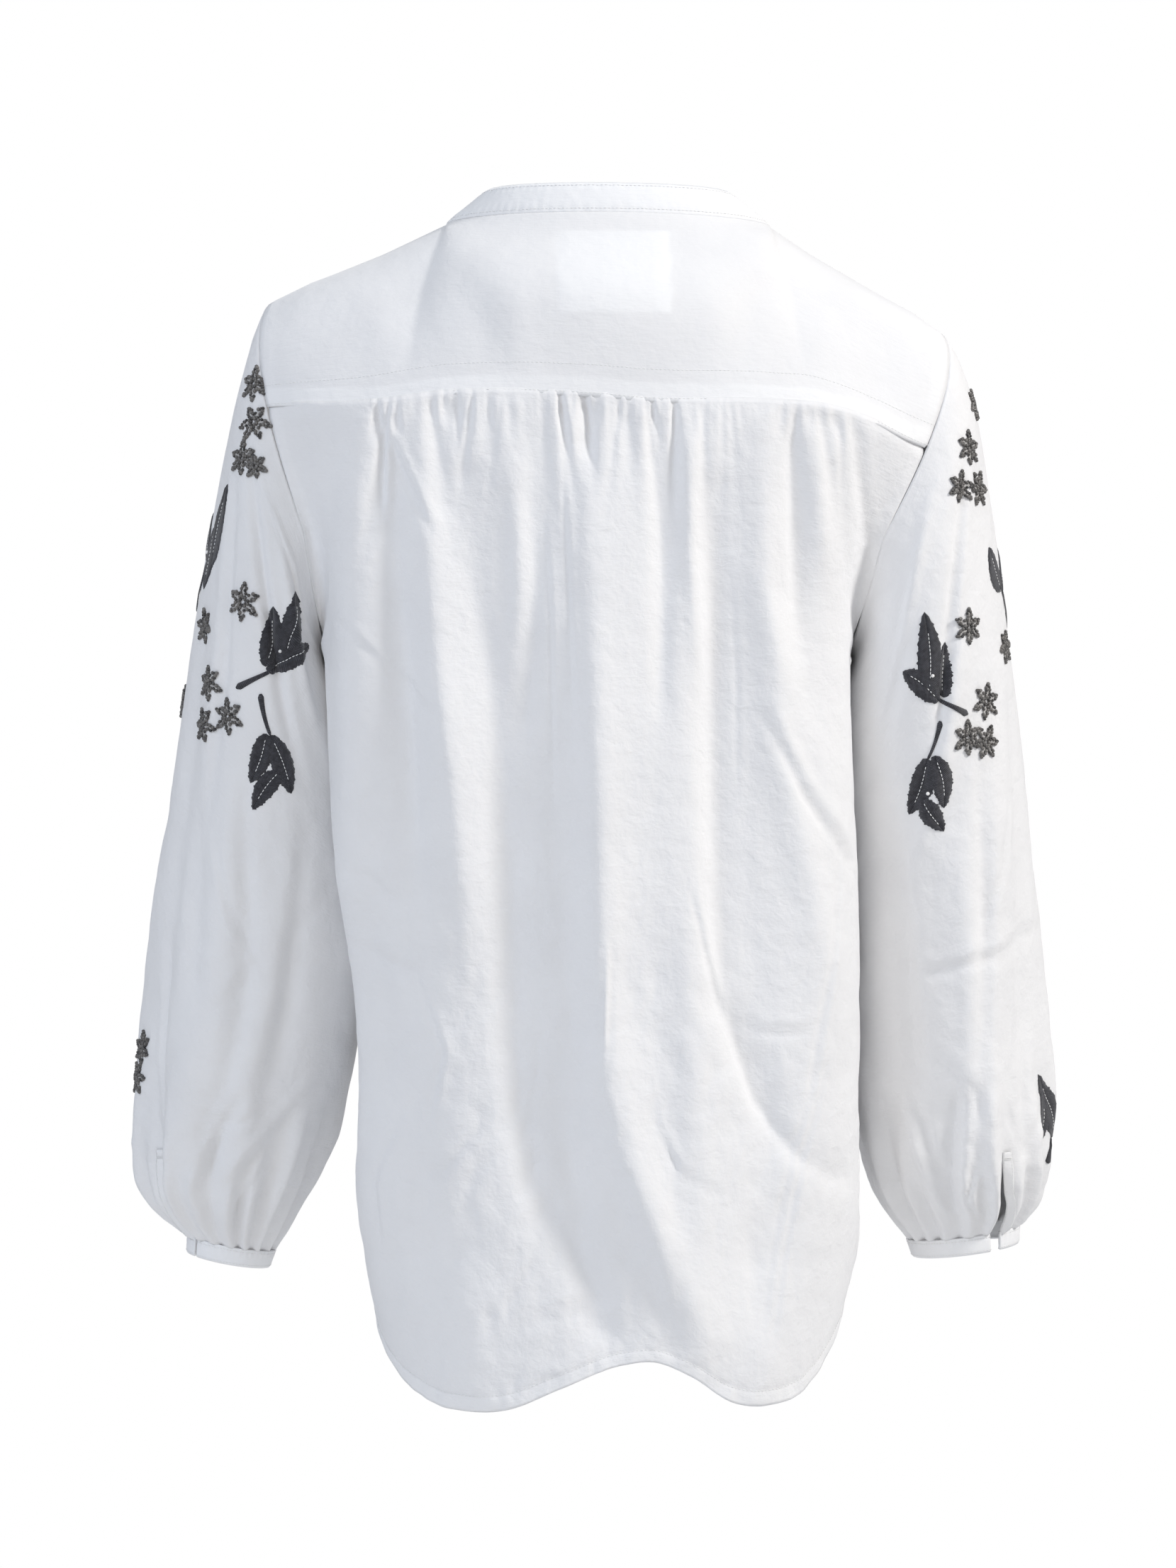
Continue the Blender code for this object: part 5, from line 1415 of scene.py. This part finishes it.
for side, work in motifs.items():
    sleeve, mark = sleeves[side], side.capitalize()
    patchwork("leaves" + mark, [leafPatch(sleeve, leaf, leafLook) for leaf in work["leaves"]], leafThread)
    patchwork("stems" + mark, [stemPatch(sleeve, stem) for stem in work["stems"]], leafThread)
    ribs = [leafMidrib(sleeve, leaf, leafLook) for leaf in work["leaves"]]
    sew("midribs" + mark, ribs, None, Pitch=2.3, Length=2.1, Width=0.62)
    flowers = [flowerParts(sleeve, flower, flowerLook) for flower in work["flowers"]]
    growPiece(
        "flowerBeads" + mark, [places for places, _ in flowers], sewnBeads,
        {"Diameter": flowerLook["bead"] * mm, "Uneven": 0.35, "Seed": sleeve["seed"], "Material": greyBead},
    )
    patchwork("petals" + mark, [patch for _, patches in flowers for patch in patches], petalThread)
    pearls = [onCloth(sleeve, np.array([a]), np.array([float(d)]), np.array([1.0])) for a, d in work["pearls"]]
    growPiece(
        "pearls" + mark, pearls, sewnBeads, {"Diameter": 2.2 * mm, "Uneven": 0.1, "Seed": 5, "Material": pearlBead}
    )
print("embroidery made")


allowance = yokeLook["allowance"] / 1.55
short = {"Pitch": 2.1, "Length": 1.6}
sew("yokeStitching", seamLines(yoke, (-2, 0.1), (-1 - allowance, 0.05)), "white_cotton")
sew("hemStitching", seamLines(back, (-6, 0.2)) + seamLines(front, (-5, 0.2)), "white_cotton")
sew("neckStitching", seamLines(band, (2.2, 0.15), (13.6, 0.15)), "band_cotton")
cuffLines = [line for cuff in cuffs.values() for line in seamLines(cuff, (1.9, 0.15), (9.6, 0.15))]
sew("cuffStitching", cuffLines, "band_cotton", **short)
placketLines, bars = [], []
for _, grid, way in plackets.values():
    placketLines += [grid[:, 1] + 0.1 * way[:, 1], grid[:, 7] + 0.1 * way[:, 7]]
    bar = grid[2, 1:8] + 0.3 * way[2, 1:8]
    bars += [bar, bar + 0.5 * (grid[3, 1:8] - grid[2, 1:8])]
sew("placketStitching", placketLines, "band_cotton", **short)
sew("barTacks", bars, "band_cotton", Pitch=0.45, Length=1.1, Width=0.6)
_, frontRows, frontNormals = front
middle, slitRows = frontRows.shape[1] // 2, int(0.235 * len(frontRows))
beside = (frontRows + 0.2 * frontNormals)[:slitRows]
sew("slitStitching", [beside[:, middle + step] for step in (-4, 3)], "white_cotton")
print("sewing made")

pieces = [
    # cloth, node, slot, flat width and length in metres, share of that rectangle, how it is held, what carries it
    (yoke, "back_yoke", "white_cotton", (0.43, 0.16), 0.8, "draped", ["standBand"]),
    (back, "back_body", "white_cotton", (0.58, 0.63), 0.93, "gathered", ["backYoke"]),
    (front, "front_body", "white_cotton", (0.60, 0.74), 0.8, "draped", ["standBand"]),
    (band, "neckband", "band_cotton", (0.54, 0.022), 1.0, "stretched", ["backYoke"]),
    (arms["left"], "sleeve_left", "white_cotton", (0.50, 0.62), 0.8, "gathered", ["backYoke"]),
    (arms["right"], "sleeve_right", "white_cotton", (0.48, 0.60), 0.8, "gathered", ["backYoke"]),
    (cuffs["left"], "cuff_left", "band_cotton", (0.20, 0.013), 1.0, "stretched", ["sleeveLeft"]),
    (cuffs["right"], "cuff_right", "band_cotton", (0.24, 0.013), 1.0, "stretched", ["sleeveRight"]),
    (plackets["left"], "placket_left", "band_cotton", (0.010, 0.065), 0.75, "stretched", ["sleeveLeft"]),
    (plackets["right"], "placket_right", "band_cotton", (0.010, 0.065), 0.75, "stretched", ["sleeveRight"]),
    (neckLabel, "neck_label", "label_cloth", (0.07, 0.056), 1.0, "hung", ["backYoke"]),
]
for (piece, *_), node, slot, flat, share, held, carriers in pieces:
    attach(piece, "root")
    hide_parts(node)


def makeFloor(f):
    turns = np.linspace(0, 2 * math.pi, 96, endpoint=False)
    ring = [(f["radius"] * mm * math.cos(t), f["radius"] * mm * math.sin(t), f["height"] * mm) for t in turns]
    mesh = bpy.data.meshes.new("paleFloor")
    mesh.from_pydata(ring, [], [list(range(96))])
    made, tree, coords = newMaterial("paleFloor", (0.86, 0.86, 0.86), 0.9)
    soft = addNoise(tree, coords["Object"], 180.0, 2.0)
    dress(tree, mixColour(tree, soft, (0.85, 0.85, 0.85), (0.88, 0.88, 0.88)))
    link("paleFloor", mesh, made)


makeFloor(floor)
print("scene ready")
